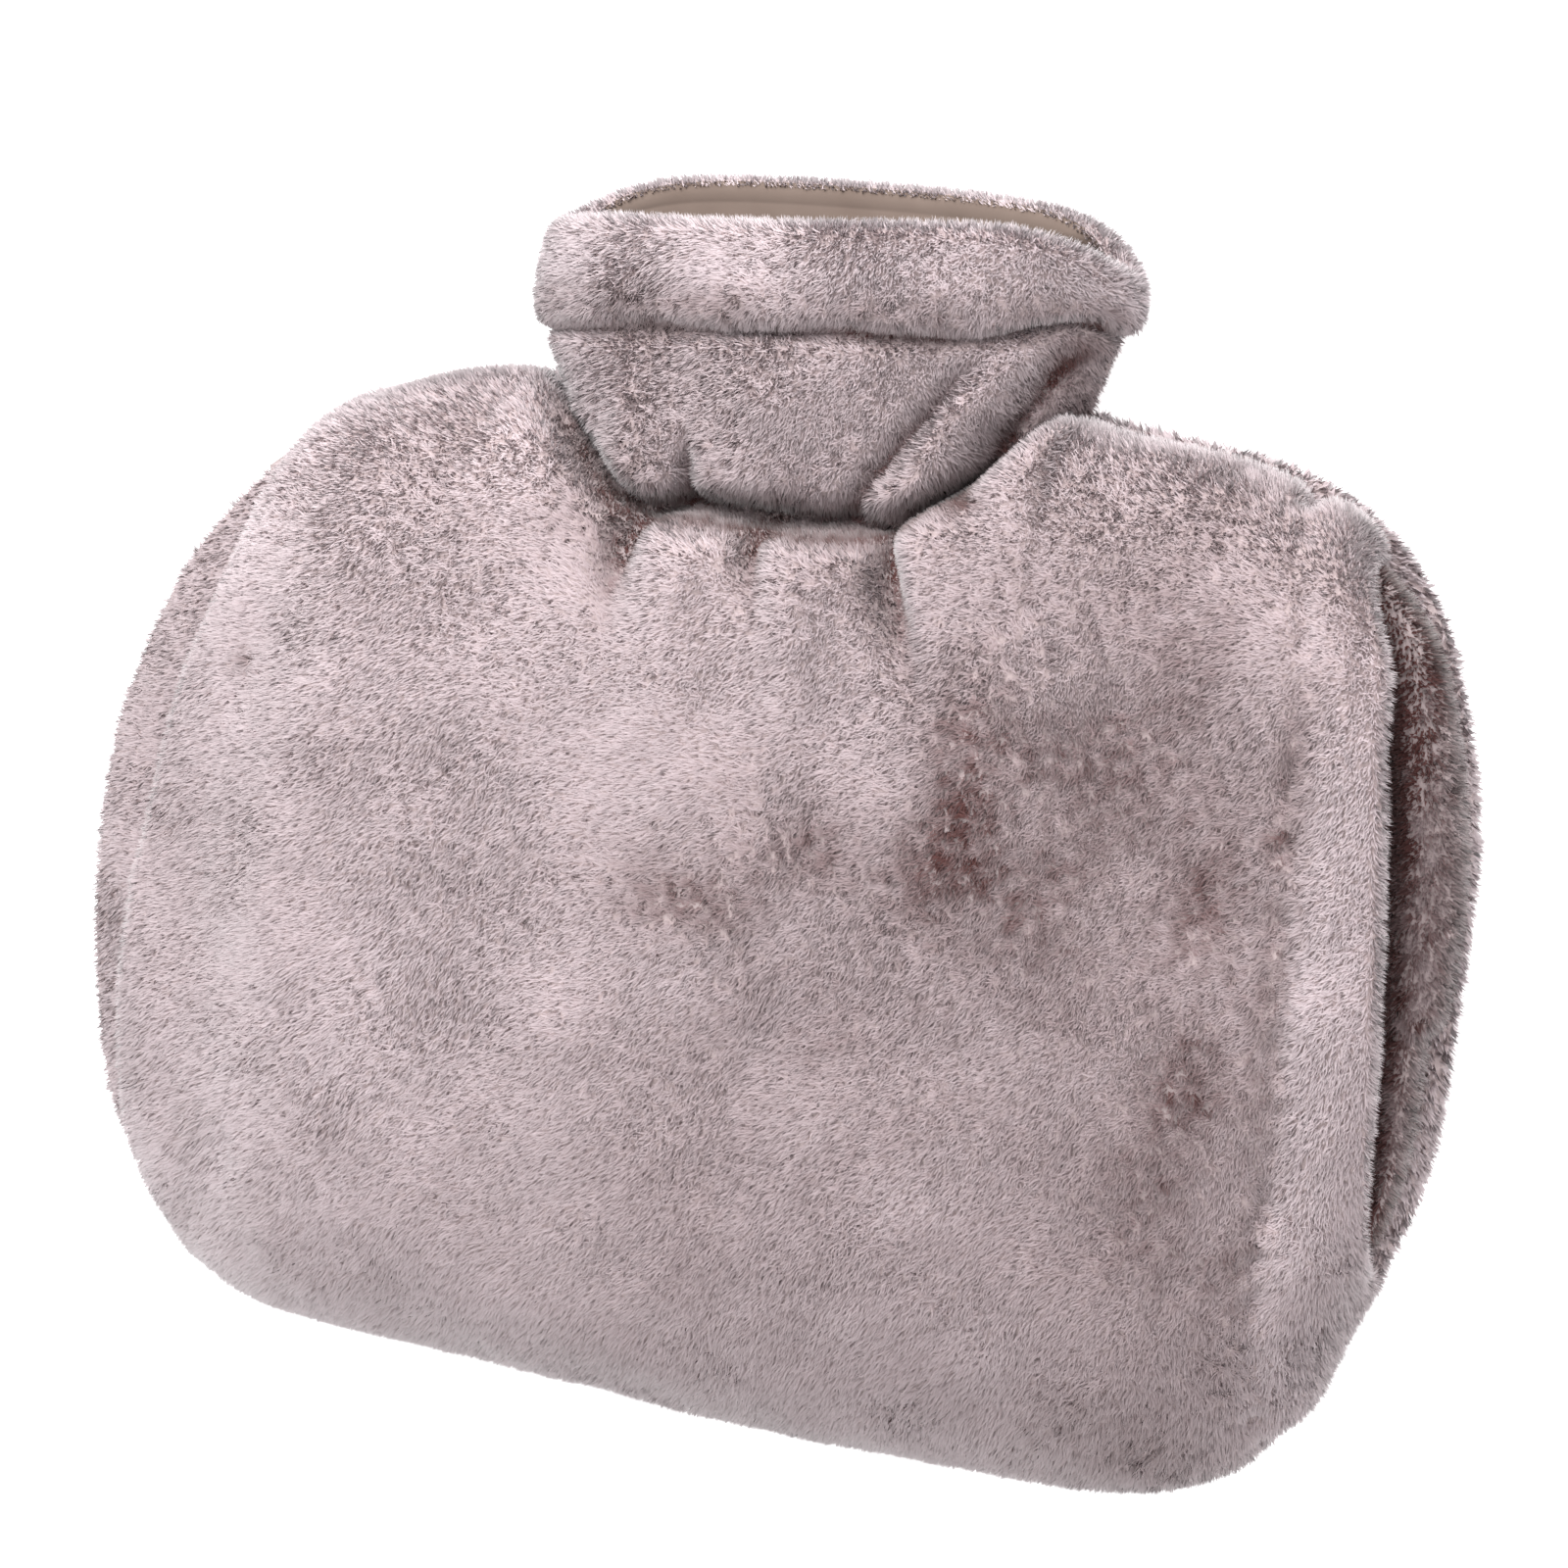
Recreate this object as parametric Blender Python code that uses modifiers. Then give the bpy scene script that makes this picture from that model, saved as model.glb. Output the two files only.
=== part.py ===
# A hot water bottle cover of thick short plush, made like a hand muff. A back panel and an inner panel
# form the pouch for the bottle. A muff panel lies over the inner panel, sewn to it along the top and
# the bottom and open at both sides for the hands. A gathered collar with a deep hem closes the neck.
# The cover lies on its back: X runs across it, Y towards the collar, Z up out of its face.

import bpy
import numpy as np

MM = 0.001
COVER_NAME = "hot_water_bottle_cover"

# Cloth
CLOTH = 5.0               # plush with its pile
MUFF_HEM = 6.5            # the folded hem at the muff's open sides
COLLAR_HEM = 9.5          # the folded hem round the collar's rim
SEAM_GAP = 0.4            # between pieces that are sewn together

# The body seen face on, from its centre: a quarter oval for each corner
QUARTERS = (
    # half width, half height, squareness
    {"side": "upper right", "width": 142.4, "height": 105.0, "square": 3.4},
    {"side": "upper left", "width": 145.6, "height": 105.0, "square": 2.3},
    {"side": "lower left", "width": 145.6, "height": 105.0, "square": 3.1},
    {"side": "lower right", "width": 142.4, "height": 105.0, "square": 3.1},
)
DROOP_LEFT = 8.0          # how far each lower corner hangs below the middle of the bottom edge
DROOP_RIGHT = 9.5
DROOP_START = 38.0
DROOP_REACH = 78.0
DROOP_TOP = 50.0
DROOP_FADE = 150.0        # the droop grows over this distance, from DROOP_TOP down
LEAN = 0.04               # the cover lies a little askew, its top to the right
BODY_X = 1.96
BODY_Y = -17.17           # the body's centre, which puts the whole cover's middle over the origin

# Places where the soft cover has settled out of its even outline, each over its own reach
SETTLED = (
    {"x": -118.0, "y": 58.0, "reach": 24.0, "across": 1.6, "along": 0.0},
    {"x": -139.0, "y": 34.0, "reach": 15.0, "across": 1.5, "along": -0.2},
    {"x": -98.0, "y": 88.0, "reach": 26.0, "across": -0.6, "along": 1.8},
    {"x": -84.0, "y": 94.0, "reach": 14.0, "across": 0.0, "along": 1.3},
    {"x": -48.0, "y": 100.0, "reach": 16.0, "across": 0.0, "along": -2.0},
    {"x": -137.0, "y": -62.0, "reach": 14.0, "across": -0.5, "along": 0.0},
    {"x": -121.0, "y": -82.0, "reach": 13.0, "across": 1.7, "along": 1.5},
    {"x": -145.0, "y": -15.0, "reach": 34.0, "across": -0.8, "along": 0.0},
    {"x": 66.0, "y": 98.0, "reach": 26.0, "across": 0.0, "along": -2.8},
    {"x": 139.0, "y": 56.0, "reach": 20.0, "across": -2.2, "along": 0.0},
    {"x": 126.0, "y": 76.0, "reach": 14.0, "across": -0.7, "along": -0.4},
    {"x": 143.0, "y": -12.0, "reach": 20.0, "across": 0.4, "along": 0.0},
    {"x": 136.0, "y": -54.0, "reach": 17.0, "across": -3.6, "along": 0.0},
    {"x": 120.0, "y": -84.0, "reach": 16.0, "across": 0.0, "along": -1.5},
    {"x": 76.0, "y": -100.0, "reach": 17.0, "across": 0.0, "along": 2.1},
    {"x": 40.0, "y": -105.0, "reach": 13.0, "across": 0.0, "along": -1.1},
    {"x": -6.0, "y": -105.0, "reach": 18.0, "across": 0.0, "along": 1.2},
    {"x": -36.0, "y": -105.0, "reach": 16.0, "across": 0.0, "along": 0.5},
    {"x": 110.0, "y": 86.0, "reach": 24.0, "across": 0.5, "along": 0.4},
)

# Heights above the surface the cover lies on
SEAM_Z = 28.0             # the seam round the body
CROWN_INNER = 48.0        # middle of the inner panel
CROWN_MUFF = 70.0         # middle of the muff panel
DOME_FLAT = 3.2           # the fronts stay flat and then turn down to the seam
DOME_ROUND = 0.55
INNER_FLAT = 2.6          # the inner panel turns down earlier
INNER_ROUND = 0.7
INNER_SIDE_X = 92.0       # beside the right opening it is fuller and stands a little higher
INNER_SIDE_FADE = 30.0
INNER_SIDE_ROUND = 0.5
INNER_SIDE_CROWN = 4.0
BACK_FLAT = 0.55          # share of the back that lies on the surface
BACK_ROUND = 2.2
SKIRT = 4.0               # the last stretch of a panel runs straight into its seam

# Neck, where the collar is sewn on and drawn in
NECK_X = 3.0
NECK_HALF = 54.0          # half the neck's width at the shoulders
GATHER_HALF = 31.0        # half the width of the gathered middle of the front
DIP_LEFT = (21.0, 60.0)   # the neck's line rises to the shoulders between these distances from its middle
DIP_RIGHT = (31.0, 54.0)
GATHER_DIP = 25.0         # the gathers sit this far below the shoulders
BACK_DIP = 9.0
PIT_X = -28.0             # the gathers' left end is pulled down a little more, beside a pit
PIT_DIP = 1.5
PIT_WIDTH = 9.0
TUCK_X = 35.0             # and steps up beside the last fold on the right
TUCK_DIP = -6.0
TUCK_WIDTH = 7.0
NECK_FALL = 0.6           # how squarely the neck's front falls away to its side seams
NECK_BACK = 20.0          # depth of the neck's back below the seam
BACK_TURN = 1.5           # length of the back's round ends, for each unit of its depth
MUFF_STAND = 21.0         # height of the muff's top edge above the seam, across the gathers
STAND_ROOM = 2.0          # the muff's top edge starts to rise this far outside the neck
UNDER_GAP = 1.4           # room between the muff's edge and the inner panel's edge below it
NECK_GAP = 0.9            # between the body's edge and the collar's lower edge
NECK_ROOM = 5.0           # the inner panel is drawn in below the muff's gathers
NECK_ROOM_DOWN = 14.0
NECK_ROOM_REACH = 15.0
NECK_ROOM_SIDE = 22.0
NECK_ROOM_FADE = 24.0
PIT_ROOM = 5.0            # and once more below the pit
PIT_ROOM_DOWN = 12.0
PIT_ROOM_REACH = 14.0

# Collar
RIM_HALF = 59.4
RIM_Y = 135.0             # the rim's side, from the body's centre
RIM_TILT = 0.22           # the rim leans forward: its front is lower than its back
RIM_SLOPE = 0.005
RIM_FRONT = 25.0
RIM_BACK = 22.0
RIM_ROUND = 6.0           # the rim's sides are rounded off, more sharply the higher the power
RIM_ROUND_POWER = 6
FRONT_LIFT = 1.9          # the front of the rim is pulled up, more towards its right end
FRONT_SLOPE = 0.07
COLLAR_FOOT = 25.0        # height above the seam of the collar's gathered front, at the neck
HEM_START = 0.55          # share of the collar's rows that lie below its hem's stitch line
HEM_DEPTH = 21.0          # from the stitch line to the rim, less towards its right end
HEM_RIGHT_LIFT = 8.5
HEM_RIGHT_START = 0.55    # share of the half width at which it starts to get less
HEM_BULGE = 3.0
HEM_BULGE_POWER = 0.6
STITCH_DIP = 1.6
STITCH_WIDTH = 0.04
RIM_TURN_IN = 5.0         # the rim's last stretch turns inwards by this much
RIM_TURN_SHARE = 0.07
RIM_TURN_POWER = 1.5
HEM_FADE = 0.06           # the hem gets its thickness over this share of the height
RIM_THIN_START = 0.9      # and thins again towards the rim's edge
RIM_THIN = 0.6
SIDE_THINNER = 0.04       # the hem thins over this share of the width, before the side seams
FOLD_FOOT = 0.06          # the folds start over this share of the height
FOLD_END = 0.6            # and end between this share of the way to the stitch line and the line itself
COLLAR_ROWS = (0.0, 0.06, 0.16, 0.28, 0.40, 0.50, 0.55, 0.60, 0.68, 0.79, 0.88, 0.95, 0.985, 1.0)
FRONT_COLUMNS = 43
BACK_COLUMNS = 25

# Muff panel, in the same face-on frame
MUFF_LEFT_TOP = -98.0
MUFF_LEFT_BOTTOM = -122.0
MUFF_LEFT_BOW = -13.0
MUFF_RIGHT_TOP = 118.0
MUFF_RIGHT_BOTTOM = 140.5
MUFF_RIGHT_BOW = 8.0      # the right edge bows out below the top seam and is drawn in to it over the last stretch
MUFF_BOW_END = 0.82
MUFF_BOW_POWER = 4
MUFF_EDGE_LEFT_Z = 54.0
MUFF_EDGE_RIGHT_Z = 64.0
MUFF_LEFT_RISE = 55.0     # the panel rises from its left edge over this distance
MUFF_RIGHT_START = 60.0   # and falls to its right edge from here
MUFF_RIGHT_FALL = 72.0
MUFF_HEM_WIDTH = 18.0
MUFF_HEM_FADE = 4.0
MUFF_HEM_ENDS = 8.0       # the hems run out over an eighth of the height before each seam
COVER_STEP = 10.0         # the pouch's edge steps in under the muff over this distance
COVER_EARLY = 1.5         # and begins this many steps before the muff's edge
VALLEY_X = 105.0          # a soft hollow runs down beside the right hem
VALLEY_LEAN = -0.38
VALLEY_WIDTH = 24.0
VALLEY_DEPTH = 6.0

# Gathers in the muff panel below the neck: creases are negative, lobes positive
GATHER_FADE = 7.0         # they start within this distance of the neck's line
GATHER_EARLY = 0.25
MUFF_GATHERS = (
    # place across the neck, lean, half width, height, reach down the panel
    {"x": -24.5, "lean": 0.08, "width": 5.5, "height": -8.0, "reach": 17.0},
    {"x": -11.5, "lean": 0.08, "width": 9.0, "height": 5.0, "reach": 42.0},
    {"x": 0.5, "lean": 0.38, "width": 4.5, "height": -6.5, "reach": 12.0},
    {"x": 13.0, "lean": 0.15, "width": 8.5, "height": 4.5, "reach": 36.0},
    {"x": 26.0, "lean": 0.36, "width": 4.2, "height": -8.0, "reach": 27.0},
    {"x": 33.0, "lean": 0.45, "width": 5.5, "height": 3.0, "reach": 16.0},
    {"x": 40.0, "lean": 0.70, "width": 4.8, "height": -4.0, "reach": 10.0},
)

# Folds in the collar's front, from the neck up to the hem's stitch line
COLLAR_FOLDS = (
    # place at the neck, place at the stitch line, half width, height
    {"low": -24.0, "high": -38.0, "width": 8.0, "height": 2.5},
    {"low": -15.0, "high": -19.0, "width": 5.0, "height": -4.5},
    {"low": -2.0, "high": 2.0, "width": 11.0, "height": 3.0},
    {"low": 13.0, "high": 38.0, "width": 5.5, "height": -4.5},
    {"low": 24.0, "high": 48.0, "width": 8.0, "height": 2.5},
)

# Points in the grids that the panels are made from
PANEL_ACROSS = 21
PANEL_ALONG = 17
NECK_CROWDING = 0.35      # share of the panels' columns that crowd towards the middle
SEAM_CROWDING = 1.35      # how far the panels' rows crowd towards the seams
MUFF_ACROSS = 47
MUFF_ALONG = 21
MUFF_CROWD_PLACE = 0.47   # the muff's columns crowd round the gathers
MUFF_CROWD_WIDTH = 0.24
MUFF_END_ROWS = 0.09      # its rows crowd towards both seams, but not right up to them

PLUSH_COLOUR = (0.396, 0.314, 0.319, 1.0)      # dusty mauve grey
PLUSH_ROUGHNESS = 0.95


def smooth(t):
    t = np.clip(t, 0.0, 1.0)
    return t * t * (3.0 - 2.0 * t)


def bump(t):
    return np.exp(-t * t)


def quarter_values(x_side, y_side):
    """Width, height and squareness of the quarter oval that each point is in."""
    upper = y_side > 0
    right = x_side > 0
    pick = np.where(upper, np.where(right, 0, 1), np.where(right, 3, 2))
    table = np.array([[q["width"], q["height"], q["square"]] for q in QUARTERS])
    return table[pick, 0], table[pick, 1], table[pick, 2]


def outline_radius(angle):
    """Distance from the body's centre to its outline at each angle."""
    width, height, square = quarter_values(np.cos(angle), np.sin(angle))
    across = (np.abs(np.cos(angle)) / width) ** square
    along = (np.abs(np.sin(angle)) / height) ** square
    return (across + along) ** (-1.0 / square)


def outline_y(x, upper):
    """Height of the outline above or below the body's centre at each x."""
    side = np.ones_like(x) if upper else -np.ones_like(x)
    width, height, square = quarter_values(x, side)
    inside = np.clip(1.0 - (np.abs(x) / width) ** square, 0.0, 1.0)
    return side * height * inside ** (1.0 / square)


def gathered(x):
    """1 across the gathered middle of the neck, falling to 0 at its sides."""
    left = x < NECK_X
    start = np.where(left, DIP_LEFT[0], DIP_RIGHT[0])
    end = np.where(left, DIP_LEFT[1], DIP_RIGHT[1])
    return 1.0 - smooth((np.abs(x - NECK_X) - start) / (end - start))


def neck_dip(x):
    """How far the neck's front line runs below the shoulders, with a deep pit at its left end."""
    across = x - NECK_X
    pit = PIT_DIP * bump((across - PIT_X) / PIT_WIDTH)
    tuck = TUCK_DIP * bump((across - TUCK_X) / TUCK_WIDTH)
    return GATHER_DIP * gathered(x) + pit + tuck


def rounded(reach, half, turn):
    """1 across the middle, then a quarter circle down to 0 over the last stretch before half."""
    return np.sqrt(1.0 - np.clip((reach - half + turn) / turn, 0.0, 1.0) ** 2)


def neck_shape(reach, half):
    """1 across the gathered middle, then falling away to 0 at the side seam."""
    away = np.clip((reach - GATHER_HALF) / (half - GATHER_HALF), 0.0, 1.0)
    return (1.0 - away) ** NECK_FALL


def neck_stand(x):
    """Height of the muff's top edge above the seam at each x."""
    return MUFF_STAND * neck_shape(np.abs(x - NECK_X), NECK_HALF + STAND_ROOM)


def neck_back(x):
    """Depth of the neck's back below the seam at each x."""
    return NECK_BACK * rounded(np.abs(x - NECK_X), NECK_HALF, NECK_BACK * BACK_TURN)


def hang(points):
    """The settled places move, the lower corners hang below the bottom edge, and the whole cover leans."""
    flat_x, flat_y, z = (points[..., axis] for axis in range(3))
    x = flat_x
    y = flat_y
    for spot in SETTLED:
        near = bump(np.hypot(flat_x - spot["x"], flat_y - spot["y"]) / spot["reach"])
        x = x + spot["across"] * near
        y = y + spot["along"] * near
    low = smooth((DROOP_TOP - y) / DROOP_FADE)
    left = DROOP_LEFT * smooth((-x - DROOP_START) / DROOP_REACH)
    right = DROOP_RIGHT * smooth((x - DROOP_START) / DROOP_REACH)
    return np.stack([x + LEAN * y + BODY_X, y - low * (left + right) + BODY_Y, z], axis=-1)


def round_grid():
    """Radius and angle of a square grid that is pressed into a disc, denser near the neck."""
    u = np.linspace(-1.0, 1.0, PANEL_ACROSS)
    u = (1.0 - NECK_CROWDING) * u + NECK_CROWDING * u ** 3
    v = np.sin(np.linspace(-1.0, 1.0, PANEL_ALONG) * SEAM_CROWDING) / np.sin(SEAM_CROWDING)
    u, v = np.meshgrid(u, v)
    x = u * np.sqrt(1.0 - v * v / 2.0)
    y = v * np.sqrt(1.0 - u * u / 2.0)
    return np.hypot(x, y), np.arctan2(y, x)


def rim_loop(rows, columns):
    """Indices of a grid's border, counter-clockwise seen from above."""
    bottom = [column for column in range(columns)]
    right = [row * columns + columns - 1 for row in range(1, rows)]
    top = [(rows - 1) * columns + column for column in range(columns - 2, -1, -1)]
    left = [row * columns for row in range(rows - 2, 0, -1)]
    return np.array(bottom + right + top + left)


def grid_faces(rows, columns):
    corner = np.arange(rows * columns).reshape(rows, columns)
    quads = np.stack([corner[:-1, :-1], corner[:-1, 1:], corner[1:, 1:], corner[1:, :-1]], axis=-1)
    return quads.reshape(-1, 4)


def panel_with_skirt(points, skirt):
    """A grid of points and a skirt that runs on from its border by the given vectors."""
    rows, columns = points.shape[:2]
    flat = points.reshape(-1, 3)
    loop = rim_loop(rows, columns)
    border = flat[loop] + skirt.reshape(-1, 3)[loop]
    outer = np.arange(len(loop)) + len(flat)
    band = np.stack([np.roll(loop, -1), loop, outer, np.roll(outer, -1)], axis=-1)
    return np.concatenate([flat, border]), np.concatenate([grid_faces(rows, columns), band])


def sheet(name, vertices, faces, thickness, thin_share=1.0, thick=None):
    """A sheet of cloth: an open surface with its thickness on the inner side."""
    mesh = bpy.data.meshes.new(name)
    mesh.from_pydata((vertices * MM).tolist(), [], faces.tolist())
    mesh.shade_smooth()
    piece = bpy.data.objects.new(name, mesh)
    bpy.data.collections[COVER_NAME].objects.link(piece)
    solid = piece.modifiers.new("cloth_thickness", "SOLIDIFY")
    solid.thickness = thickness * MM
    solid.offset = -1.0
    if thick is not None:
        hem = piece.vertex_groups.new(name="hem")
        for index, weight in enumerate(thick.ravel().tolist()):
            hem.add([index], weight, "REPLACE")
        solid.vertex_group = "hem"
        solid.thickness_vertex_group = thin_share
    mesh.materials.append(plush_material(name))
    return piece


def plush_material(name):
    material = bpy.data.materials.new(name + "_plush")
    material.use_nodes = True
    shader = material.node_tree.nodes["Principled BSDF"]
    shader.inputs["Base Color"].default_value = PLUSH_COLOUR
    shader.inputs["Roughness"].default_value = PLUSH_ROUGHNESS
    shader.inputs["Metallic"].default_value = 0.0
    return material


def seam_skirt(neck_share):
    """A panel runs straight down into the seam round the body, and straight up into the neck's seam."""
    skirt = np.zeros(neck_share.shape + (3,))
    skirt[..., 1] = SKIRT * neck_share
    skirt[..., 2] = -SKIRT * (1.0 - neck_share)
    return skirt


def make_back_panel():
    radius, angle = round_grid()
    reach = outline_radius(angle) * radius
    x = reach * np.cos(angle)
    y = reach * np.sin(angle)
    upper = (y > 0) * radius ** 4
    neck = gathered(x) * upper
    y = y - (BACK_DIP + SKIRT) * neck
    edge = SEAM_Z - SEAM_GAP / 2.0 - SKIRT * (1.0 - neck) - neck_back(x) * upper
    turn = smooth_turn(radius)
    z = edge * turn
    points = hang(np.stack([x, y, z], axis=-1))
    skirt = seam_skirt(neck)
    skirt[..., 2] = -skirt[..., 2]
    vertices, faces = panel_with_skirt(points, skirt)
    return sheet("back_panel", vertices, faces[:, ::-1], CLOTH)


def smooth_turn(radius):
    """0 where the back lies flat, then a round turn up to 1 at the border."""
    out = np.clip((radius - BACK_FLAT) / (1.0 - BACK_FLAT), 0.0, 1.0)
    return 1.0 - np.sqrt(np.clip(1.0 - out ** BACK_ROUND, 0.0, 1.0))


def muff_cover(angle):
    """1 where the muff panel covers the seam, 0 beside its open sides."""
    reach = outline_radius(angle)
    x = reach * np.cos(angle)
    upper = np.sin(angle) > 0
    left = x - np.where(upper, MUFF_LEFT_TOP, MUFF_LEFT_BOTTOM)
    right = np.where(upper, MUFF_RIGHT_TOP, MUFF_RIGHT_BOTTOM) - x
    return smooth(np.minimum(left, right) / COVER_STEP + COVER_EARLY)


def make_inner_panel():
    radius, angle = round_grid()
    inset = (CLOTH + UNDER_GAP) * muff_cover(angle)
    reach = (outline_radius(angle) - inset) * radius
    x = reach * np.cos(angle)
    y = reach * np.sin(angle)
    upper = (y > 0) * radius ** 4
    neck = gathered(x) * upper
    y = y - (neck_dip(x) + SKIRT * gathered(x)) * upper
    edge = SEAM_Z + SEAM_GAP / 2.0 + SKIRT * (1.0 - neck)
    edge = edge + np.maximum(neck_stand(x) - CLOTH - UNDER_GAP, 0.0) * upper
    # under the gathers the panel turns down as early as the muff does
    top = np.maximum(outline_y(x, True) - neck_dip(x), 1.0)
    out = np.maximum(radius, np.clip(y / top, 0.0, 1.0) * gathered(x))
    side = smooth((x - INNER_SIDE_X) / INNER_SIDE_FADE)
    crown = CROWN_INNER + INNER_SIDE_CROWN * side
    z = edge + (crown - edge) * dome(out, INNER_FLAT, INNER_ROUND + (INNER_SIDE_ROUND - INNER_ROUND) * side)
    down = top - y
    beside = smooth((NECK_HALF + NECK_ROOM_SIDE - np.abs(x - NECK_X)) / NECK_ROOM_FADE)
    z = z - NECK_ROOM * beside * bump((down - NECK_ROOM_DOWN) / NECK_ROOM_REACH) * (y > 0)
    pit = bump((x - NECK_X - PIT_X) / PIT_ROOM_REACH) * bump((down - PIT_ROOM_DOWN) / PIT_ROOM_REACH)
    z = z - PIT_ROOM * pit * (y > 0)
    points = hang(np.stack([x, y, z], axis=-1))
    vertices, faces = panel_with_skirt(points, seam_skirt(neck))
    return sheet("inner_panel", vertices, faces, CLOTH)


def dome(out, flat, turn):
    """1 in the middle, flat at first, then turning down to 0 at the border."""
    return np.clip(1.0 - np.abs(out) ** flat, 0.0, 1.0) ** turn


def muff_crown(x, y):
    """Height of the muff's middle line at each place across it, with its hollow beside the right hem."""
    left = smooth((x - MUFF_LEFT_BOTTOM - MUFF_LEFT_BOW / 2.0) / MUFF_LEFT_RISE)
    right = smooth((x - MUFF_RIGHT_START) / MUFF_RIGHT_FALL)
    height = MUFF_EDGE_LEFT_Z + (CROWN_MUFF - MUFF_EDGE_LEFT_Z) * left
    height = height - (CROWN_MUFF - MUFF_EDGE_RIGHT_Z) * right
    valley = bump((x - VALLEY_X - VALLEY_LEAN * y) / VALLEY_WIDTH)
    return height - VALLEY_DEPTH * valley


def denser(steps, place, width):
    """The same span of steps, set closer together round one place."""
    moved = steps - 0.5 * width * np.tanh((steps - place) / width)
    return (moved - moved[0]) / (moved[-1] - moved[0])


def make_muff_panel():
    across = denser(np.linspace(0.0, 1.0, MUFF_ACROSS), MUFF_CROWD_PLACE, MUFF_CROWD_WIDTH)
    turn = np.linspace(MUFF_END_ROWS, 1.0 - MUFF_END_ROWS, MUFF_ALONG) * np.pi
    along = 0.5 - 0.5 * np.cos(turn) / np.cos(MUFF_END_ROWS * np.pi)
    u, v = np.meshgrid(across, along)
    # two lines across, along the bottom seam and the top seam, and straight lines between them
    low_x = MUFF_LEFT_BOTTOM + (MUFF_RIGHT_BOTTOM - MUFF_LEFT_BOTTOM) * u
    high_x = MUFF_LEFT_TOP + (MUFF_RIGHT_TOP - MUFF_LEFT_TOP) * u
    low_y = outline_y(low_x, False)
    neck = gathered(high_x)
    high_y = outline_y(high_x, True) - neck_dip(high_x) - SKIRT * neck
    x = low_x + (high_x - low_x) * v + MUFF_LEFT_BOW * 4.0 * v * (1.0 - v) * (1.0 - u) ** 2
    drawn = smooth((v - MUFF_BOW_END) / (1.0 - MUFF_BOW_END))
    x = x + MUFF_RIGHT_BOW * v * (1.0 - drawn) * u ** MUFF_BOW_POWER
    y = low_y + (high_y - low_y) * v
    seam = SEAM_Z + SEAM_GAP / 2.0 + SKIRT
    top = seam - SKIRT * neck + neck_stand(high_x)
    edge = seam + (top - seam) * smooth(v)
    z = edge + (muff_crown(x, y) - edge) * dome(2.0 * v - 1.0, DOME_FLAT, DOME_ROUND)
    # gathers fade out down the panel
    down = high_y - y
    for fold in MUFF_GATHERS:
        place = x - NECK_X - fold["x"] - fold["lean"] * down
        fade = bump(down / fold["reach"]) * smooth(down / GATHER_FADE + GATHER_EARLY)
        z = z + fold["height"] * bump(place / fold["width"]) * fade
    points = np.stack([x, y, z], axis=-1)
    # seam rows below and above
    bottom = points[:1] + np.array([0.0, 0.0, -SKIRT])
    top_row = points[-1:] + seam_skirt(neck[-1:])
    points = hang(np.concatenate([bottom, points, top_row]))
    # the folded hems at both open sides, which run out before the seams
    span = (MUFF_RIGHT_TOP + MUFF_RIGHT_BOTTOM - MUFF_LEFT_TOP - MUFF_LEFT_BOTTOM) / 2.0
    from_side = np.minimum(u, 1.0 - u) * span
    hem = smooth((MUFF_HEM_WIDTH - from_side) / MUFF_HEM_FADE)
    hem = hem * smooth(MUFF_HEM_ENDS * v) * smooth(MUFF_HEM_ENDS * (1.0 - v))
    hem = np.pad(hem, ((1, 1), (0, 0)), "edge")
    rows, columns = points.shape[:2]
    faces = grid_faces(rows, columns)
    return sheet("muff_panel", points.reshape(-1, 3), faces, MUFF_HEM, CLOTH / MUFF_HEM, hem)


def collar_grid(columns):
    """Place across the collar from side seam to side seam, and height from neck to rim."""
    t = np.linspace(-1.0, 1.0, columns)
    return np.meshgrid(np.sin(t * np.pi / 2.0), np.array(COLLAR_ROWS))


def collar_profile(height):
    """How far the cloth stands out over the folded hem, with a groove at its stitch line."""
    hem = hem_share(height)
    bulge = HEM_BULGE * np.sin(np.pi * hem) ** HEM_BULGE_POWER
    groove = STITCH_DIP * bump((height - HEM_START) / STITCH_WIDTH)
    turn_in = RIM_TURN_IN * smooth((height - 1.0 + RIM_TURN_SHARE) / RIM_TURN_SHARE) ** RIM_TURN_POWER
    return bulge - groove - turn_in


def hem_share(height):
    """0 up to the stitch line, then rising to 1 at the rim."""
    return np.clip((height - HEM_START) / (1.0 - HEM_START), 0.0, 1.0)


def collar_section(x, half, height, front):
    """Height of the collar above or below the seam: the neck's shape turns into the rim's half ellipse."""
    if not front:
        depth = NECK_BACK + (RIM_BACK - NECK_BACK) * height
        turn = NECK_BACK * BACK_TURN + (RIM_HALF - NECK_BACK * BACK_TURN) * smooth(height)
        return -depth * rounded(np.abs(x), half, turn)
    to_stitch = np.clip(height / HEM_START, 0.0, 1.0)
    share = smooth(to_stitch)
    ellipse = np.sqrt(np.clip(1.0 - (x / half) ** 2, 0.0, 1.0))
    rise = COLLAR_FOOT + (RIM_FRONT - COLLAR_FOOT) * height
    z = rise * (neck_shape(np.abs(x), half) * (1.0 - share) + ellipse * share)
    fade = smooth(height / FOLD_FOOT) * (1.0 - smooth((to_stitch - FOLD_END) / (1.0 - FOLD_END)))
    for fold in COLLAR_FOLDS:
        centre = fold["low"] + (fold["high"] - fold["low"]) * to_stitch
        z = z + fold["height"] * bump((x - centre) / fold["width"]) * fade
    return z


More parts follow.
